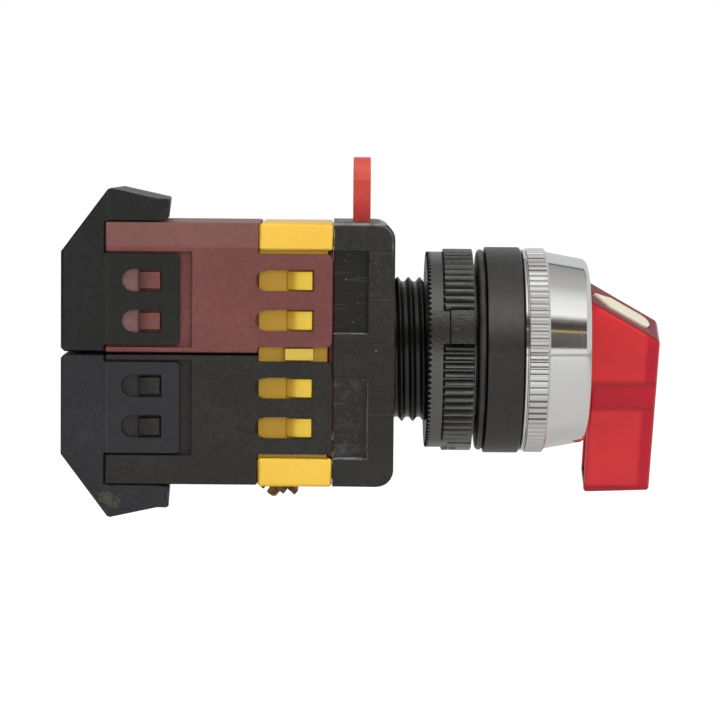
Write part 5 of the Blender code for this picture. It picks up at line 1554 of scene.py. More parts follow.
class Workshop:
    """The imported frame, its nodes and the finishes, shared by the sub-assemblies."""

    def __init__(self, frame: Dict[str, Any]) -> None:
        """Keep the frame and start with no finish made."""
        self.nodes: Dict[str, bpy.types.Object] = frame["nodes"]
        self.made: Dict[str, bpy.types.Material] = {}

    def finish(self, kind: Finish) -> bpy.types.Material:
        """Return the material of a finish, made once.

        Args:
            kind: The finish.

        Returns:
            Its material.
        """
        if kind.name not in self.made:
            self.made[kind.name] = kind.material()
        return self.made[kind.name]

    def span(self, node: str) -> Tuple[Vector, Vector]:
        """Return a node's lowest and highest corners."""
        low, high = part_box(node)
        return Vector(low), Vector(high)

    def stand_in(
        self, piece: bpy.types.Object, node: str, body: Body, slot: Slot, kind: Finish
    ) -> bpy.types.Object:
        """Let a fine piece stand for a node.

        Args:
            piece: The fine piece.
            node: The node that it replaces.
            body: The body that it rides on.
            slot: The record's slot for its finish, which is not used.
            kind: The finish.

        Returns:
            The piece.
        """
        piece.data.materials.clear()
        piece.data.materials.append(self.finish(kind))
        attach(piece, body.value)
        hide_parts(node)
        LOG.info("piece %s: %d faces", piece.name, len(piece.data.polygons))
        return piece

    def dress_node(self, node: str, kind: Finish) -> None:
        """Give a node that stays its finish.

        Args:
            node: The node's name.
            kind: The finish.
        """
        mesh = self.nodes[node].data
        mesh.materials.clear()
        mesh.materials.append(self.finish(kind))
        LOG.info("node %s keeps its form", node)

    def refined(
        self,
        node: str,
        name: str,
        edge: float,
        segments: int = 2,
        reaches: Sequence[Reach] = (),
    ) -> bpy.types.Object:
        """Copy a node's solid, merge its triangles into faces and round its edges.

        Args:
            node: The node to copy.
            name: The new piece's name.
            edge: The rounding's width in metres.
            segments: The faces across each rounding.
            reaches: Moves of the points in a box, which narrow a seam or trim an outline.

        Returns:
            The new piece.
        """
        mesh = self.nodes[node].data.copy()
        piece = bpy.data.objects.new(name, mesh)
        bpy.context.scene.collection.objects.link(piece)
        with editing(piece):
            bpy.ops.mesh.select_all(action="SELECT")
            bpy.ops.mesh.remove_doubles(threshold=0.000002)
            for reach in reaches:
                pick_points(piece, reach.holds)
                bpy.ops.transform.translate(value=reach.shift)
            bpy.ops.mesh.select_all(action="SELECT")
            bpy.ops.mesh.dissolve_limited(angle_limit=math.radians(0.5))
        if mesh.has_custom_normals:
            make_active(piece)
            bpy.ops.mesh.customdata_custom_splitnormals_clear()
        return round_edges(piece, edge, segments)


@dataclass
class Bezel:
    """The chrome bezel: lip, knurled band, cone and rounded rim.

    Attributes:
        ribs: The knurl's teeth.
        lip_radius: The rear lip's radius.
        lip_reach: How far the lip stands out behind the solid's rear.
        groove_radius: The radius between the lip and the knurl.
        knurl_root: The knurl's radius between two teeth.
        knurl_height: The teeth's height.
        knurl_start: Where the knurl starts, counted from the rear.
        knurl_end: Where it ends.
        notch: The length of its last stretch.
        shoulder: Where the cone starts.
        cone_rear: The cone's radius at its rear.
        cone_front: Its radius at its front.
        rim: The rounded rim's radius.
        rim_steps: The faces round the rim.
        opening: The front opening's radius.
        bore: The radius inside.
        edge: The width of the small edges.
    """

    shop: Workshop
    ribs: RibPattern = RibPattern(90, (0.0, 0.72, 0.93, 1.0, 0.93, 0.72), 3)
    lip_radius: float = 14.80 * MM
    lip_reach: float = 0.25 * MM
    groove_radius: float = 14.40 * MM
    knurl_root: float = 14.74 * MM
    knurl_height: float = 0.26 * MM
    knurl_start: float = 0.40 * MM
    knurl_end: float = 2.95 * MM
    notch: float = 0.30 * MM
    shoulder: float = 3.30 * MM
    cone_rear: float = 14.42 * MM
    cone_front: float = 13.53 * MM
    rim: float = 1.10 * MM
    rim_steps: int = 8
    opening: float = 11.50 * MM
    bore: float = 13.00 * MM
    edge: float = 0.08 * MM

    def profile(self, rear: float, front: float) -> List[Station]:
        """Lay out the section, from the bore's rear round the outside to the front.

        Args:
            rear: The bezel's rear along X, without its lip.
            front: Its front along X.

        Returns:
            The stations of (place along X, radius).
        """
        e = self.edge
        stations = [
            (rear - self.lip_reach, self.bore),
            (rear - self.lip_reach, self.lip_radius - e),
            (rear - self.lip_reach + e, self.lip_radius),
            (rear + e, self.lip_radius),
            (rear + 3 * e, self.groove_radius),
            (rear + self.knurl_start - e, self.groove_radius),
            (rear + self.knurl_start, self.knurl_root),
            (rear + self.knurl_end - self.notch, self.knurl_root),
            (rear + self.knurl_end, self.knurl_root),
            (rear + self.shoulder, self.cone_rear + e / 2),
            (rear + self.shoulder + 2 * e, self.cone_rear),
        ]
        centre = front - self.rim
        slope = math.atan2(self.cone_rear - self.cone_front, centre - rear - self.shoulder)
        for step in range(self.rim_steps + 1):
            angle = (math.pi / 2 - slope) * (1 - step / self.rim_steps)
            reach = self.rim * math.cos(angle)
            fall = self.rim * (1 - math.sin(angle))
            stations.append((centre + reach, self.cone_front - fall))
        stations += [
            (front, self.opening + e),
            (front - e, self.opening),
            (front - self.rim, self.opening),
            (front - 2 * self.rim, self.bore),
        ]
        return stations

    def build(self) -> None:
        """Build the bezel in place of its node."""
        low, high = self.shop.span("bezel")
        rear, front = low.x, high.x
        steps = self.ribs.steps
        piece = turn_rings("chrome_bezel", self.profile(rear, front), steps)
        first = rear + self.knurl_start - self.edge / 2
        last = rear + self.knurl_end + self.edge / 2

        def on_knurl(point: Vector) -> bool:
            """Say whether a point lies on the knurled band."""
            radius = math.hypot(point.y, point.z)
            return first < point.x < last and radius > self.knurl_root - self.edge

        raise_teeth = swell(self.knurl_root, self.knurl_height)
        change_ring(piece, steps, on_knurl, self.ribs.share, raise_teeth)
        shade_smooth(piece, 28.0)
        self.shop.stand_in(piece, "bezel", Body.SWITCH, Slot.CHROME, ChromePlate())


@dataclass
class ThreadedHead:
    """The head ring, its spigot and the barrel with its helical thread, and the gasket.

    Attributes:
        steps: The points round each ring.
        ring_radius: The head ring's radius.
        ring_edge: The rounding at the ring's front and the barrel's end.
        rear_edge: The small edge at the ring's rear.
        corner_steps: The faces round the ring's front corner.
        crest: The thread's radius at its crest.
        root: Its radius at its root.
        bore: The barrel's bore.
        shaft_bore: The bore for the handle's shaft.
        bore_step: Where one bore meets the other along X.
        pitch: The thread's travel for each turn.
        ridge_base: The ridge's width at its root.
        ridge_crest: Its width at its crest.
        ridge_sink: How deep the ridge stands in the barrel.
        thread_start: Where the thread starts along X.
        thread_turns: Its turns.
        spigot_radius: The radius in front of the ring.
        ring_rear: The ring's rear along X.
        ring_front: Its front along X.
        gasket_gap: The gasket's clearance over the thread.
        bead_steps: The faces round the gasket's rim.
    """

    shop: Workshop
    steps: int = 144
    ring_radius: float = 15.10 * MM
    ring_edge: float = 0.30 * MM
    rear_edge: float = 0.08 * MM
    corner_steps: int = 4
    crest: float = 10.60 * MM
    root: float = 9.98 * MM
    bore: float = 8.40 * MM
    shaft_bore: float = 7.60 * MM
    bore_step: float = 4.00 * MM
    pitch: float = 1.60 * MM
    ridge_base: float = 1.30 * MM
    ridge_crest: float = 0.16 * MM
    ridge_sink: float = 0.10 * MM
    thread_start: float = -15.1 * MM
    thread_turns: int = 9
    spigot_radius: float = 12.70 * MM
    ring_rear: float = 1.20 * MM
    ring_front: float = 6.30 * MM
    gasket_gap: float = 0.30 * MM
    bead_steps: int = 12

    def rounded(self, x: float, radius: float, edge: float) -> List[Station]:
        """Lay out the quarter round at the ring's front corner.

        Args:
            x: The ring's front along X.
            radius: The ring's radius.
            edge: The rounding's radius.

        Returns:
            The stations from the ring's face to its side.
        """
        stations = []
        for step in range(self.corner_steps + 1):
            angle = math.pi / 2 * step / self.corner_steps
            reach, rise = edge * math.cos(angle), edge * math.sin(angle)
            stations.append((x - edge + reach, radius - edge + rise))
        return stations

    def build(self) -> None:
        """Build the head and the gasket in place of their nodes."""
        low, high = self.shop.span("head_body")
        e = self.ring_edge
        profile = [
            (high.x, self.shaft_bore),
            (high.x, self.spigot_radius),
            (self.ring_front, self.spigot_radius),
        ]
        profile += self.rounded(self.ring_front, self.ring_radius, e)
        profile += [
            (self.ring_rear + self.rear_edge, self.ring_radius),
            (self.ring_rear, self.ring_radius - self.rear_edge),
            (self.ring_rear, self.root),
            (low.x + e, self.root),
            (low.x, self.root - e),
            (low.x, self.bore),
            (self.bore_step, self.bore),
            (self.bore_step, self.shaft_bore),
        ]
        head = turn_rings("threaded_head", profile, self.steps)
        shade_smooth(head, 32.0)
        join_pieces(head, [self.thread()])
        self.shop.stand_in(head, "head_body", Body.SWITCH, Slot.BLACK, HEAD_BLACK)
        self.build_gasket()

    def thread(self) -> bpy.types.Object:
        """Wind the thread's ridge about the barrel from a small plane.

        Returns:
            The ridge, closed at both ends.
        """
        deselect_all()
        inner = self.root - self.ridge_sink
        middle = (inner + self.crest) / 2
        bpy.ops.mesh.primitive_plane_add(size=1.0, location=(self.thread_start, middle, 0.0))
        ridge = bpy.context.object
        ridge.scale = (self.ridge_base, self.crest - inner, 1.0)
        settle(ridge)
        with editing(ridge):
            pick_points(ridge, lambda point: point.y > middle)
            share = self.ridge_crest / self.ridge_base
            bpy.ops.transform.resize(
                value=(share, 1.0, 1.0), center_override=(self.thread_start, self.crest, 0.0)
            )
        apply_modifier(
            ridge,
            "SCREW",
            axis="X",
            angle=math.tau,
            screw_offset=self.pitch,
            iterations=self.thread_turns,
            steps=self.steps // 2,
            render_steps=self.steps // 2,
            use_merge_vertices=False,
        )
        with editing(ridge):
            bpy.ops.mesh.select_all(action="SELECT")
            bpy.ops.mesh.fill_holes(sides=4)
            bpy.ops.mesh.select_all(action="SELECT")
            bpy.ops.mesh.normals_make_consistent(inside=False)
        return shade_smooth(ridge, 32.0)

    def build_gasket(self) -> None:
        """Build the gasket with its half-round rim."""
        low, high = self.shop.span("panel_gasket")
        inner = self.crest + self.gasket_gap
        bead = (high.x - low.x) / 2
        centre = high.z - bead
        profile = [(high.x, inner)]
        for step in range(self.bead_steps + 1):
            angle = math.pi * step / self.bead_steps
            reach, rise = bead * math.cos(angle), bead * math.sin(angle)
            profile.append((low.x + bead + reach, centre + rise))
        profile.append((low.x, inner))
        gasket = turn_rings("rubber_gasket", profile, self.steps)
        shade_smooth(gasket, 40.0)
        self.shop.stand_in(gasket, "panel_gasket", Body.SWITCH, Slot.RUBBER, GasketRubber())


@dataclass
class Locknut:
    """The locknut: bosses, ribs with blank pads, a plain band and its toothed rear edge.

    Attributes:
        ribs: The ribs round the nut.
        teeth: The fine teeth of the rear edge.
        pad_count: How many blank pads there are.
        pad_slots: How many ribs a pad takes the place of.
        pad_first_slot: The first of them on the first pad.
        bore: The radius inside the nut.
        boss: The front boss's radius.
        boss_reach: How far the boss stands out in front of the ribs.
        root: The radius between two ribs.
        rib_height: The ribs' height.
        groove_place: The groove behind the ribs, counted from the nut's rear.
        groove_rise: The length over which the ribs rise from it.
        band: The plain band's radius.
        band_width: The band's width.
        tooth_floor: The radius at the teeth's inner end.
        tooth_depth: The teeth's depth along X.
        rear_sink: How deep the rear face lies inside the teeth.
        pad_rear: The step behind a pad, counted from the groove.
        edge: The width of the small edges.
        mark_place: The pin marks' place along X.
        mark_radius: Their radius.
        mark_wire: Half the width of their raised line.
        mark_angle: The first mark's turn about X, in degrees from +Y.
    """

    shop: Workshop
    ribs: RibPattern = RibPattern(72, (0.0, 0.62, 1.0, 1.0, 0.62, 0.0), 209)
    teeth: RibPattern = RibPattern(108, (0.0, 0.55, 1.0, 0.55), 209)
    pad_count: int = 4
    pad_slots: int = 4
    pad_first_slot: int = -4
    bore: float = 10.90 * MM
    boss: float = 12.50 * MM
    boss_reach: float = 0.40 * MM
    root: float = 14.02 * MM
    rib_height: float = 0.78 * MM
    groove_place: float = 2.40 * MM
    groove_rise: float = 0.22 * MM
    band: float = 14.36 * MM
    band_width: float = 1.15 * MM
    tooth_floor: float = 13.70 * MM
    tooth_depth: float = 0.55 * MM
    rear_sink: float = 0.35 * MM
    pad_rear: float = 0.90 * MM
    edge: float = 0.10 * MM
    mark_place: float = -3.35 * MM
    mark_radius: float = 0.45 * MM
    mark_wire: float = 0.10 * MM
    mark_angle: float = 163.75

    def in_pad(self, index: int) -> bool:
        """Say whether a ring step lies on one of the blank pads.

        Args:
            index: The ring step.

        Returns:
            Whether it lies on a pad.
        """
        slots = self.ribs.count // self.pad_count
        slot = (index - self.ribs.offset) // len(self.ribs.heights) - self.pad_first_slot
        return slot % slots < self.pad_slots

    def pad_share(self, index: int) -> float:
        """Return 1 at a ring step on a pad, and 0 elsewhere."""
        return 1.0 if self.in_pad(index) else 0.0

    def rib_share(self, index: int) -> float:
        """Return the rib's share at a ring step, with the pads solid."""
        return 1.0 if self.in_pad(index) else self.ribs.share(index)

    def profile(self, front: float, rear: float) -> List[Station]:
        """Lay out the section, from the bore's front round the outside to its rear.

        Args:
            front: The nut's front along X.
            rear: Its rear along X.

        Returns:
            The stations of (place along X, radius).
        """
        e = self.edge
        rib_front = front - self.boss_reach
        groove = rear + self.groove_place
        band_rear = rear + e
        return [
            (front, self.bore),
            (front, self.boss - e),
            (front - e, self.boss),
            (rib_front, self.boss),
            (rib_front, self.root - e),
            (rib_front - e, self.root),
            (groove + self.pad_rear + e, self.root),
            (groove + self.pad_rear - e, self.root),
            (groove + self.groove_rise, self.root),
            (groove, self.root),
            (groove - e, self.band),
            (band_rear + self.band_width, self.band),
            (band_rear + e, self.band),
            (band_rear, self.band - e),
            (band_rear, self.tooth_floor),
            (band_rear + self.rear_sink, self.boss),
            (band_rear + self.rear_sink, self.bore),
        ]

    def build(self) -> None:
        """Build the locknut in place of its node."""
        low, high = self.shop.span("locknut")
        e = self.edge
        rib_front = high.x - self.boss_reach
        groove = low.x + self.groove_place
        band_rear = low.x + e
        steps = self.ribs.steps
        nut = turn_rings("ribbed_locknut", self.profile(high.x, low.x), steps)

        def on_ribs(point: Vector) -> bool:
            """Say whether a point lies on the ribs' root."""
            radius = math.hypot(point.y, point.z)
            return groove + e < point.x < rib_front + e and radius > self.root - 1.5 * e

        def on_rear_edge(point: Vector) -> bool:
            """Say whether a point lies on the band's rear edge."""
            radius = math.hypot(point.y, point.z)
            return point.x < band_rear + 2 * e and radius > self.tooth_floor + e

        def on_pad_rear(point: Vector) -> bool:
            """Say whether a point lies on the step behind a pad."""
            return on_ribs(point) and point.x < groove + self.pad_rear - e / 2

        def on_groove(point: Vector) -> bool:
            """Say whether a point lies on the groove between the ribs and the band."""
            radius = math.hypot(point.y, point.z)
            return abs(point.x - groove) < e / 2 and radius > self.root - e

        change_ring(nut, steps, on_ribs, self.rib_share, swell(self.root, self.rib_height))
        step_down = self.band - self.root - self.rib_height
        change_ring(nut, steps, on_pad_rear, self.pad_share, swell(self.root, step_down))
        change_ring(nut, steps, on_groove, self.pad_share, swell(self.root, self.band - self.root))
        change_ring(nut, steps, on_rear_edge, self.teeth.share, slide(self.tooth_depth))
        shade_smooth(nut, 30.0)
        join_pieces(nut, [self.mark(number) for number in range(self.pad_count)])
        self.shop.stand_in(nut, "locknut", Body.NUT, Slot.BLACK, NUT_BLACK)

    def mark(self, number: int) -> bpy.types.Object:
        """Make the ring that an ejector pin leaves on a pad.

        Args:
            number: The pad's number.

        Returns:
            The ring, half sunk in the pad.
        """
        angle = math.radians(self.mark_angle + number * 360.0 / self.pad_count)
        reach = self.root + self.rib_height
        deselect_all()
        bpy.ops.mesh.primitive_torus_add(
            major_radius=self.mark_radius,
            minor_radius=self.mark_wire,
            major_segments=24,
            minor_segments=8,
            location=(self.mark_place, reach * math.cos(angle), reach * math.sin(angle)),
            rotation=(angle - math.pi / 2, 0.0, 0.0),
        )
        return shade_smooth(settle(bpy.context.object), 80.0)


@dataclass
class Handle:
    """The hollow red handle and its cream pointer.

    Attributes:
        tilt: The handle's turn about X at rest, in degrees.
        edge: The handle's rounding.
        pointer_edge: The pointer's rounding.
        front_wall: The wall in front of the hollows.
        hollow_reach: How far the lamp's hollow reaches into the bezel.
        web_top: The web between the hollows, its side to the lamp.
        web_low: Its side to the tail.
        tail_end: Where the tail's hollow ends.
        roof: Where the lamp's hollow ends.
        slope_top: The front slope's height at the bezel.
        slope_foot: Its height at the handle's front.
        slope_gap: Where it starts in front of the bezel.
        slope_low: The height over which its points are lifted.
        slope_sides: The (low, high) of these points along Y.
        slope_lift: How far they are lifted.
        slope_margin: How far their box stands off the bezel and the front.
        pointer_end: Where the pointer's low end begins along X.
        pointer_stop: Where it stops behind the handle's front.
        pointer_trim: How far it is pulled back.
        tail_zone: The length of the tail that moves.
        tail_reach: The tail's move.
    """

    shop: Workshop
    tilt: float = 30.0
    edge: float = 0.14 * MM
    pointer_edge: float = 0.05 * MM
    front_wall: float = 1.9 * MM
    hollow_reach: float = 1.0 * MM
    web_top: float = -3.9 * MM
    web_low: float = -8.4 * MM
    tail_end: float = -22.3 * MM
    roof: float = 9.0 * MM
    slope_top: float = 9.7 * MM
    slope_foot: float = 3.0 * MM
    slope_gap: float = 0.3 * MM
    slope_low: float = 0.5 * MM
    slope_sides: Tuple[float, float] = (-8.0 * MM, 2.0 * MM)
    slope_lift: float = 0.42 * MM
    slope_margin: float = 0.1 * MM
    pointer_end: float = 24.3 * MM
    pointer_stop: float = 0.7 * MM
    pointer_trim: float = 0.55 * MM
    tail_zone: float = 5.5 * MM
    tail_reach: Tuple[float, float, float] = (0.0, 0.185 * MM, -0.32 * MM)

    def build(self) -> None:
        """Build the handle's pieces in place of their nodes."""
        low, high = self.shop.span("selector_handle")
        front = high.x - self.front_wall
        disc = self.shop.span("bezel")[1].x
        slope_start = disc + self.slope_gap
        fall = (self.slope_top - self.slope_foot) / (high.x - slope_start)
        # The hollow tone is painted light through the thin wall; the shade tone is painted shadow.
        red = ClearRed(
            name="tinted_red",
            solid=(0.60, 0.008, 0.031),
            hollow=(0.82, 0.034, 0.043),
            shade=(0.36, 0.010, 0.022),
            tilt=self.tilt,
            lamp_space=((disc - self.hollow_reach, front), (self.web_top, self.roof)),
            tail_space=((disc, front), (self.tail_end, self.web_low)),
            slope_fall=fall,
            slope_level=self.slope_top + slope_start * fall + self.slope_lift,
        )
        near, far = self.slope_sides
        lift = Reach(
            (disc + self.slope_margin, near, self.slope_low),
            (high.x + self.slope_margin, far, high.z),
            (0.0, 0.0, self.slope_lift),
        )
        pull = Reach(
            (self.pointer_end, near, self.slope_low),
            (high.x - self.pointer_stop, far, high.z),
            (-self.pointer_trim, 0.0, self.pointer_trim * fall),
        )
        side = 2 * high.z
        tail = Reach(
            (-side, -side, low.z - self.edge), (side, side, low.z + self.tail_zone), self.tail_reach
        )
        grip = self.shop.refined(
            "selector_handle", "red_handle", self.edge, reaches=[pull, lift, tail]
        )
        self.shop.stand_in(grip, "selector_handle", Body.HANDLE, Slot.CLEAR_RED, red)
        pointer = self.shop.refined(
            "pointer_insert", "cream_pointer", self.pointer_edge, reaches=[pull, lift]
        )
        self.shop.stand_in(pointer, "pointer_insert", Body.HANDLE, Slot.CREAM, CREAM)


@dataclass
class BaseAndLock:
    """The base holder, the lock ring with its lever and the plate that holds it.

    Attributes:
        edge: The base's and the lever's rounding.
        plate_edge: The plate's rounding.
        plate_zone: Between which depths behind the base the plate's front lies.
        plate_reach: How far this front moves towards the base.
    """

    shop: Workshop
    edge: float = 0.12 * MM
    plate_edge: float = 0.03 * MM
    plate_zone: Tuple[float, float] = (0.22 * MM, 0.18 * MM)
    plate_reach: float = 0.16 * MM

    def build(self) -> None:
        """Build the pieces in place of their nodes."""
        base = self.shop.refined("base_holder", "black_base", self.edge)
        self.shop.stand_in(base, "base_holder", Body.SWITCH, Slot.BLACK, BASE_BLACK)
        lever = self.shop.refined("lock_ring", "red_lock_lever", self.edge)
        self.shop.stand_in(lever, "lock_ring", Body.LEVER, Slot.RED, LEVER_RED)
        low, high = self.shop.span("base_holder")
        start, end = [low.x - depth for depth in self.plate_zone]
        face = Reach.section(start, end, 2 * high.z, self.plate_reach)
        plate = self.shop.refined("lock_retainer", "red_retainer", self.plate_edge, reaches=[face])
        self.shop.stand_in(plate, "lock_retainer", Body.SWITCH, Slot.RED, RETAINER_PAINTED_SHADE)


@dataclass
class LampSection:
    """The yellow lamp block with its terminals, bulb and socket.

    Attributes:
        edge: The block's rounding.
        pad_gap: How far behind the base the points of the pads' fronts begin.
        pad_lead: The depth in which they lie.
        pad_reach: How far the pads' fronts move to the base.
        seam_zone: The depth about the rear face in which its points lie.
        seam_reach: How far the rear face moves back.
        foot_zone: The height in which the points of the lower pads lie.
        foot_reach: How far the lower pads move down.
    """

    shop: Workshop
    edge: float = 0.12 * MM
    pad_gap: float = 0.30 * MM
    pad_lead: float = 0.40 * MM
    pad_reach: float = 0.30 * MM
    seam_zone: float = 0.02 * MM
    seam_reach: float = 0.15 * MM
    foot_zone: float = 0.30 * MM
    foot_reach: float = 0.25 * MM

    def build(self) -> None:
        """Build the block in place of its node and dress the rest."""
        low, high = self.shop.span("lamp_block")
        tall = 2 * high.z
        zone = self.seam_zone
        rear_seam = Reach.section(low.x - zone, low.x + zone, tall, -self.seam_reach)
        pad = self.shop.span("base_holder")[0].x - self.pad_gap
        pad_face = Reach.section(pad - self.pad_lead, pad, tall, self.pad_reach)
        foot_top = self.foot_zone - high.z
        foot = Reach((-tall, -tall, -tall), (tall, tall, foot_top), (0.0, 0.0, -self.foot_reach))
        block = self.shop.refined(
            "lamp_block", "yellow_lamp_block", self.edge, reaches=[rear_seam, pad_face, foot]
        )
        self.shop.stand_in(block, "lamp_block", Body.SWITCH, Slot.YELLOW, YELLOW)
        for side in ("near", "far"):
            for part in ("lamp_terminal", "lamp_clamp", "lamp_screw"):
                self.shop.dress_node(f"{side}_{part}", BRASS)
        self.shop.dress_node("lamp_bulb", LampGlass())
        self.shop.dress_node("lamp_socket", BRASS)
        self.shop.dress_node("lamp_contact", BRASS)


@dataclass
class ContactBlock:
    """One contact block with its terminal cover.

    Attributes:
        label: The block's name in its nodes' names.
        slot: The housing's slot.
        kind: The housing's finish.
        cover_kind: The cover's finish.
        edge: The rounding of both.
        margin: How far a box stands off the points that it holds.
        lug_gap: The gap left between the lugs and the base.
        lug_tip: The length of the lugs that moves.
        shoulder: The shoulder's place along X.
        shoulder_reach: How far the shoulder moves back to the cover.
        skin_zone: Between which depths under the side the lugs' sides lie.
        skin_reach: How far they move outwards.
        hood_front: The hood's open end along X.
        hood_end: The length of the hood that moves.
        hood_height: The hood's height.
        near_reach: How far the near side of the open end moves.
        far_reach: How far the far side moves.
    """

    shop: Workshop
    label: str
    slot: Slot
    kind: MouldedPlastic
    cover_kind: MouldedPlastic
    edge: float = 0.10 * MM
    margin: float = 0.10 * MM
    lug_gap: float = 0.17 * MM
    lug_tip: float = 0.85 * MM
    shoulder: float = -53.02 * MM
    shoulder_reach: float = 0.15 * MM
    skin_zone: Tuple[float, float] = (0.07 * MM, 0.02 * MM)
    skin_reach: float = 0.05 * MM
    hood_front: float = -45.1 * MM
    hood_end: float = 0.55 * MM
    hood_height: float = 4.85 * MM
    near_reach: float = 1.0 * MM
    far_reach: float = -0.3 * MM

    def lug_reaches(self) -> List[Reach]:
        """Lay out the moves that fit the housing to its neighbours.

        Returns:
            The moves of the lugs up to the base, of the shoulder up to the cover and of the
            lugs' sides out to the housing's.
        """
        low, high = self.shop.span(f"{self.label}_housing")
        front, side = high.x, high.y
        tall = 2 * max(abs(low.z), abs(high.z))
        gap = self.shop.span("base_holder")[0].x - front - self.lug_gap
        seam, margin = self.shoulder, self.margin
        reaches = [
            Reach.section(front - self.lug_tip, front + margin, tall, gap),
            Reach.section(seam - margin, seam + margin, tall, -self.shoulder_reach),
        ]
        for face in (-1.0, 1.0):
            inner, outer = sorted(face * (side - depth) for depth in self.skin_zone)
            shift = (0.0, face * self.skin_reach, 0.0)
            reaches.append(Reach((low.x, inner, -tall), (0.0, outer, tall), shift))
        return reaches

    def hood_reaches(self) -> List[Reach]:
        """Lay out the moves that slant the hood's open end.

        Returns:
            The moves of the near side, which gets longer, and of the far side.
        """
        low, high = self.shop.span(f"{self.label}_cover")
        tall = max(abs(low.z), abs(high.z))
        sill = tall - self.hood_height
        bottom, top = (sill, tall) if high.z > -low.z else (-tall, -sill)
        start, end = self.hood_front - self.hood_end, self.hood_front + self.margin
        return [
            Reach((start, -tall, bottom), (end, 0.0, top), (self.near_reach, 0.0, 0.0)),
            Reach((start, 0.0, bottom), (end, tall, top), (self.far_reach, 0.0, 0.0)),
        ]

    def build(self) -> None:
        """Build the housing and the cover in place of their nodes and dress the rest."""
        housing = self.shop.refined(
            f"{self.label}_housing",
            f"{self.label}_contact_body",
            self.edge,
            reaches=self.lug_reaches(),
        )
        self.shop.stand_in(housing, f"{self.label}_housing", Body.SWITCH, self.slot, self.kind)
        cover = self.shop.refined(
            f"{self.label}_cover",
            f"{self.label}_terminal_cover",
            self.edge,
            reaches=self.hood_reaches(),
        )
        self.shop.stand_in(cover, f"{self.label}_cover", Body.SWITCH, Slot.BLACK, self.cover_kind)
        self.shop.dress_node(f"{self.label}_front_plate", self.kind)
        self.shop.dress_node(f"{self.label}_push_rod", WHITE)
        self.shop.dress_node(f"{self.label}_plunger", WHITE)
        self.shop.dress_node(f"{self.label}_bridge", BRASS)
        self.shop.dress_node(f"{self.label}_contact_spring", SPRING)
        for side in ("near", "far"):
            self.shop.dress_node(f"{self.label}_{side}_terminal", BRASS)
            self.shop.dress_node(f"{self.label}_{side}_screw", BRASS)
            self.shop.dress_node(f"{self.label}_{side}_clamp", PLATED)


@dataclass
class Mechanism:
    """The cam sleeve, the follower, its spring and the seal, which keep their forms."""

    shop: Workshop

    def build(self) -> None:
        """Dress the nodes."""
        self.shop.dress_node("cam_sleeve", WHITE)
        self.shop.dress_node("cam_follower", WHITE)
        self.shop.dress_node("follower_spring", SPRING)
        self.shop.dress_node("handle_seal", GasketRubber())


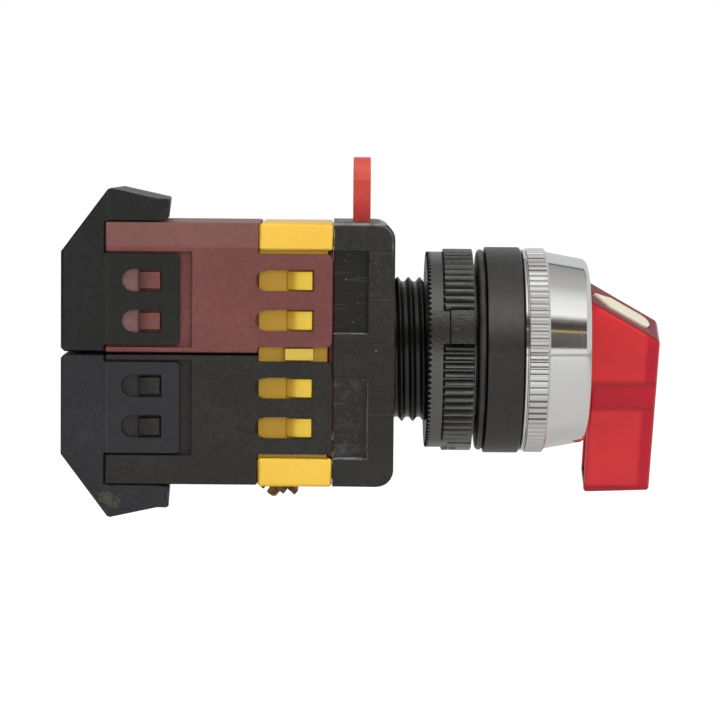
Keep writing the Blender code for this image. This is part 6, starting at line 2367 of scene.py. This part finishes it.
@dataclass
class Studio:
    """A pale floor, soft light and the photograph's camera."""

    floor_height: float = -0.066
    floor_size: float = 6.0
    floor_tone: Colour = (0.74, 0.74, 0.73)
    floor_glow: float = 0.68
    camera_place: Tuple[float, float, float] = (-0.0214, -0.445, 0.0280)
    aim: Tuple[float, float, float] = (-0.01692, 0.0, -0.00168)
    field_of_view: float = 13.537
    lean: float = 0.50
    key_power: float = 1.6
    key_size: float = 0.5
    key_place: Tuple[float, float, float] = (-0.05, -0.30, 0.55)
    fill_power: float = 4.0
    fill_size: float = 0.7
    fill_place: Tuple[float, float, float] = (0.12, -0.92, 0.12)

    WHITE_TONE = (1.0, 1.0, 1.0)
    PANEL_EDGE = (0.50, 0.58)
    PANEL_TONE = (0.62, 0.62, 0.62)
    DARK_EDGE = (-0.30, -0.75)
    DARK_TONE = (0.030, 0.029, 0.028)
    # The tones round the object, by the angle from the near horizon up and over, in half turns.
    SKY = (
        (0.000, (0.800, 0.800, 0.790)),
        (0.028, (0.780, 0.780, 0.770)),
        (0.034, (0.085, 0.078, 0.072)),
        (0.145, (0.145, 0.130, 0.118)),
        (0.150, (0.620, 0.480, 0.180)),
        (0.156, (0.620, 0.480, 0.180)),
        (0.161, (0.070, 0.060, 0.052)),
        (0.203, (0.060, 0.050, 0.045)),
        (0.232, (0.220, 0.200, 0.180)),
        (0.268, (1.020, 1.020, 1.010)),
        (0.390, (0.860, 0.860, 0.850)),
        (0.500, (0.500, 0.495, 0.480)),
        (0.708, (0.340, 0.335, 0.325)),
        (0.714, (0.100, 0.100, 0.100)),
        (0.726, (0.100, 0.100, 0.100)),
        (0.734, (0.620, 0.640, 0.650)),
        (1.000, (0.600, 0.610, 0.620)),
    )

    def build(self) -> None:
        """Build the floor, the world, the lamps and the camera."""
        self.build_floor()
        self.build_world()
        self.build_lamp("soft_key", self.key_place, self.key_power, self.key_size)
        self.build_lamp("front_fill", self.fill_place, self.fill_power, self.fill_size)
        self.build_camera()
        bpy.context.scene.view_settings.view_transform = "Standard"

    def build_floor(self) -> None:
        """Lay the floor, which shows white to the camera and keeps the shadow."""
        deselect_all()
        bpy.ops.mesh.primitive_plane_add(
            size=self.floor_size, location=(0.0, 0.0, self.floor_height)
        )
        floor = bpy.context.object
        floor.name = "studio_floor"
        material, sheet, shader = new_material("pale_floor")
        sheet.feed_all(shader, {"Base Color": self.floor_tone, "Roughness": 0.9})
        seen = sheet.node("ShaderNodeLightPath", output="Is Camera Ray")
        glow = sheet.node("ShaderNodeEmission", None, {"Strength": seen * self.floor_glow})
        matt = Signal(sheet, shader.outputs[0])
        both = sheet.node("ShaderNodeAddShader", None, {0: matt, 1: glow})
        output = material.node_tree.nodes["Material Output"]
        sheet.feed(output.inputs["Surface"], both)
        floor.data.materials.append(material)

    def build_world(self) -> None:
        """Set the sky by its angle above the near horizon, and white to the camera."""
        world = bpy.data.worlds.new("soft_box")
        bpy.context.scene.world = world
        world.use_nodes = True
        sheet = NodeSheet(world.node_tree)
        side, depth, height = sheet.axes(sheet.node("ShaderNodeTexCoord", output="Generated"))
        angle = height.maths("ARCTAN2", height, 0.0 - depth) / math.pi
        sky = sheet.node("ShaderNodeValToRGB", {"stops": self.SKY}, {0: angle})
        seen = sheet.node("ShaderNodeLightPath", output="Is Camera Ray")
        layers = [
            (side.ramp(*self.PANEL_EDGE), self.PANEL_TONE),
            (side.ramp(*self.DARK_EDGE), self.DARK_TONE),
            (seen, self.WHITE_TONE),
        ]
        background = world.node_tree.nodes["Background"]
        sheet.feed_all(background, {"Color": sheet.layered(sky, layers), "Strength": 1.0})

    def build_lamp(self, name: str, place: Sequence[float], power: float, size: float) -> None:
        """Hang a soft square lamp that faces the object and shows in no mirror.

        Args:
            name: The lamp's name.
            place: Where it hangs.
            power: Its power in watts.
            size: Its side in metres.
        """
        data = bpy.data.lights.new(name, "AREA")
        data.energy = power
        data.shape = "SQUARE"
        data.size = size
        lamp = bpy.data.objects.new(name, data)
        lamp.location = place
        aim = Vector(self.aim) - Vector(place)
        lamp.rotation_euler = aim.to_track_quat("-Z", "Y").to_euler()
        lamp.visible_glossy = False
        bpy.context.scene.collection.objects.link(lamp)

    def build_camera(self) -> None:
        """Set the camera as the photograph has it."""
        data = bpy.data.cameras.new("photo_camera")
        data.sensor_width = 36.0
        data.angle = math.radians(self.field_of_view)
        camera = bpy.data.objects.new("photo_camera", data)
        camera.location = self.camera_place
        aim = Vector(self.aim) - Vector(self.camera_place)
        turn = aim.to_track_quat("-Z", "Y").to_matrix().to_4x4()
        roll = Matrix.Rotation(math.radians(self.lean), 4, "Z")
        camera.rotation_euler = (turn @ roll).to_euler()
        bpy.context.scene.collection.objects.link(camera)
        bpy.context.scene.camera = camera


def main() -> None:
    """Load the frame, build the sub-assemblies in order and set the studio."""
    logging.basicConfig(level=logging.INFO, format="%(name)s: %(message)s")
    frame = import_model()
    shop = Workshop(frame)
    assemblies = [
        Bezel(shop),
        ThreadedHead(shop),
        Locknut(shop),
        Handle(shop),
        BaseAndLock(shop),
        LampSection(shop),
        ContactBlock(shop, "upper", Slot.MAROON, MAROON, UPPER_COVER_BLACK),
        ContactBlock(shop, "lower", Slot.BLACK, HOUSING_BLACK, LOWER_COVER_BLACK),
        Mechanism(shop),
        Studio(),
    ]
    for assembly in assemblies:
        assembly.build()
        LOG.info("%s is done", type(assembly).__name__)
    deselect_all()


if __name__ == "__main__":
    main()
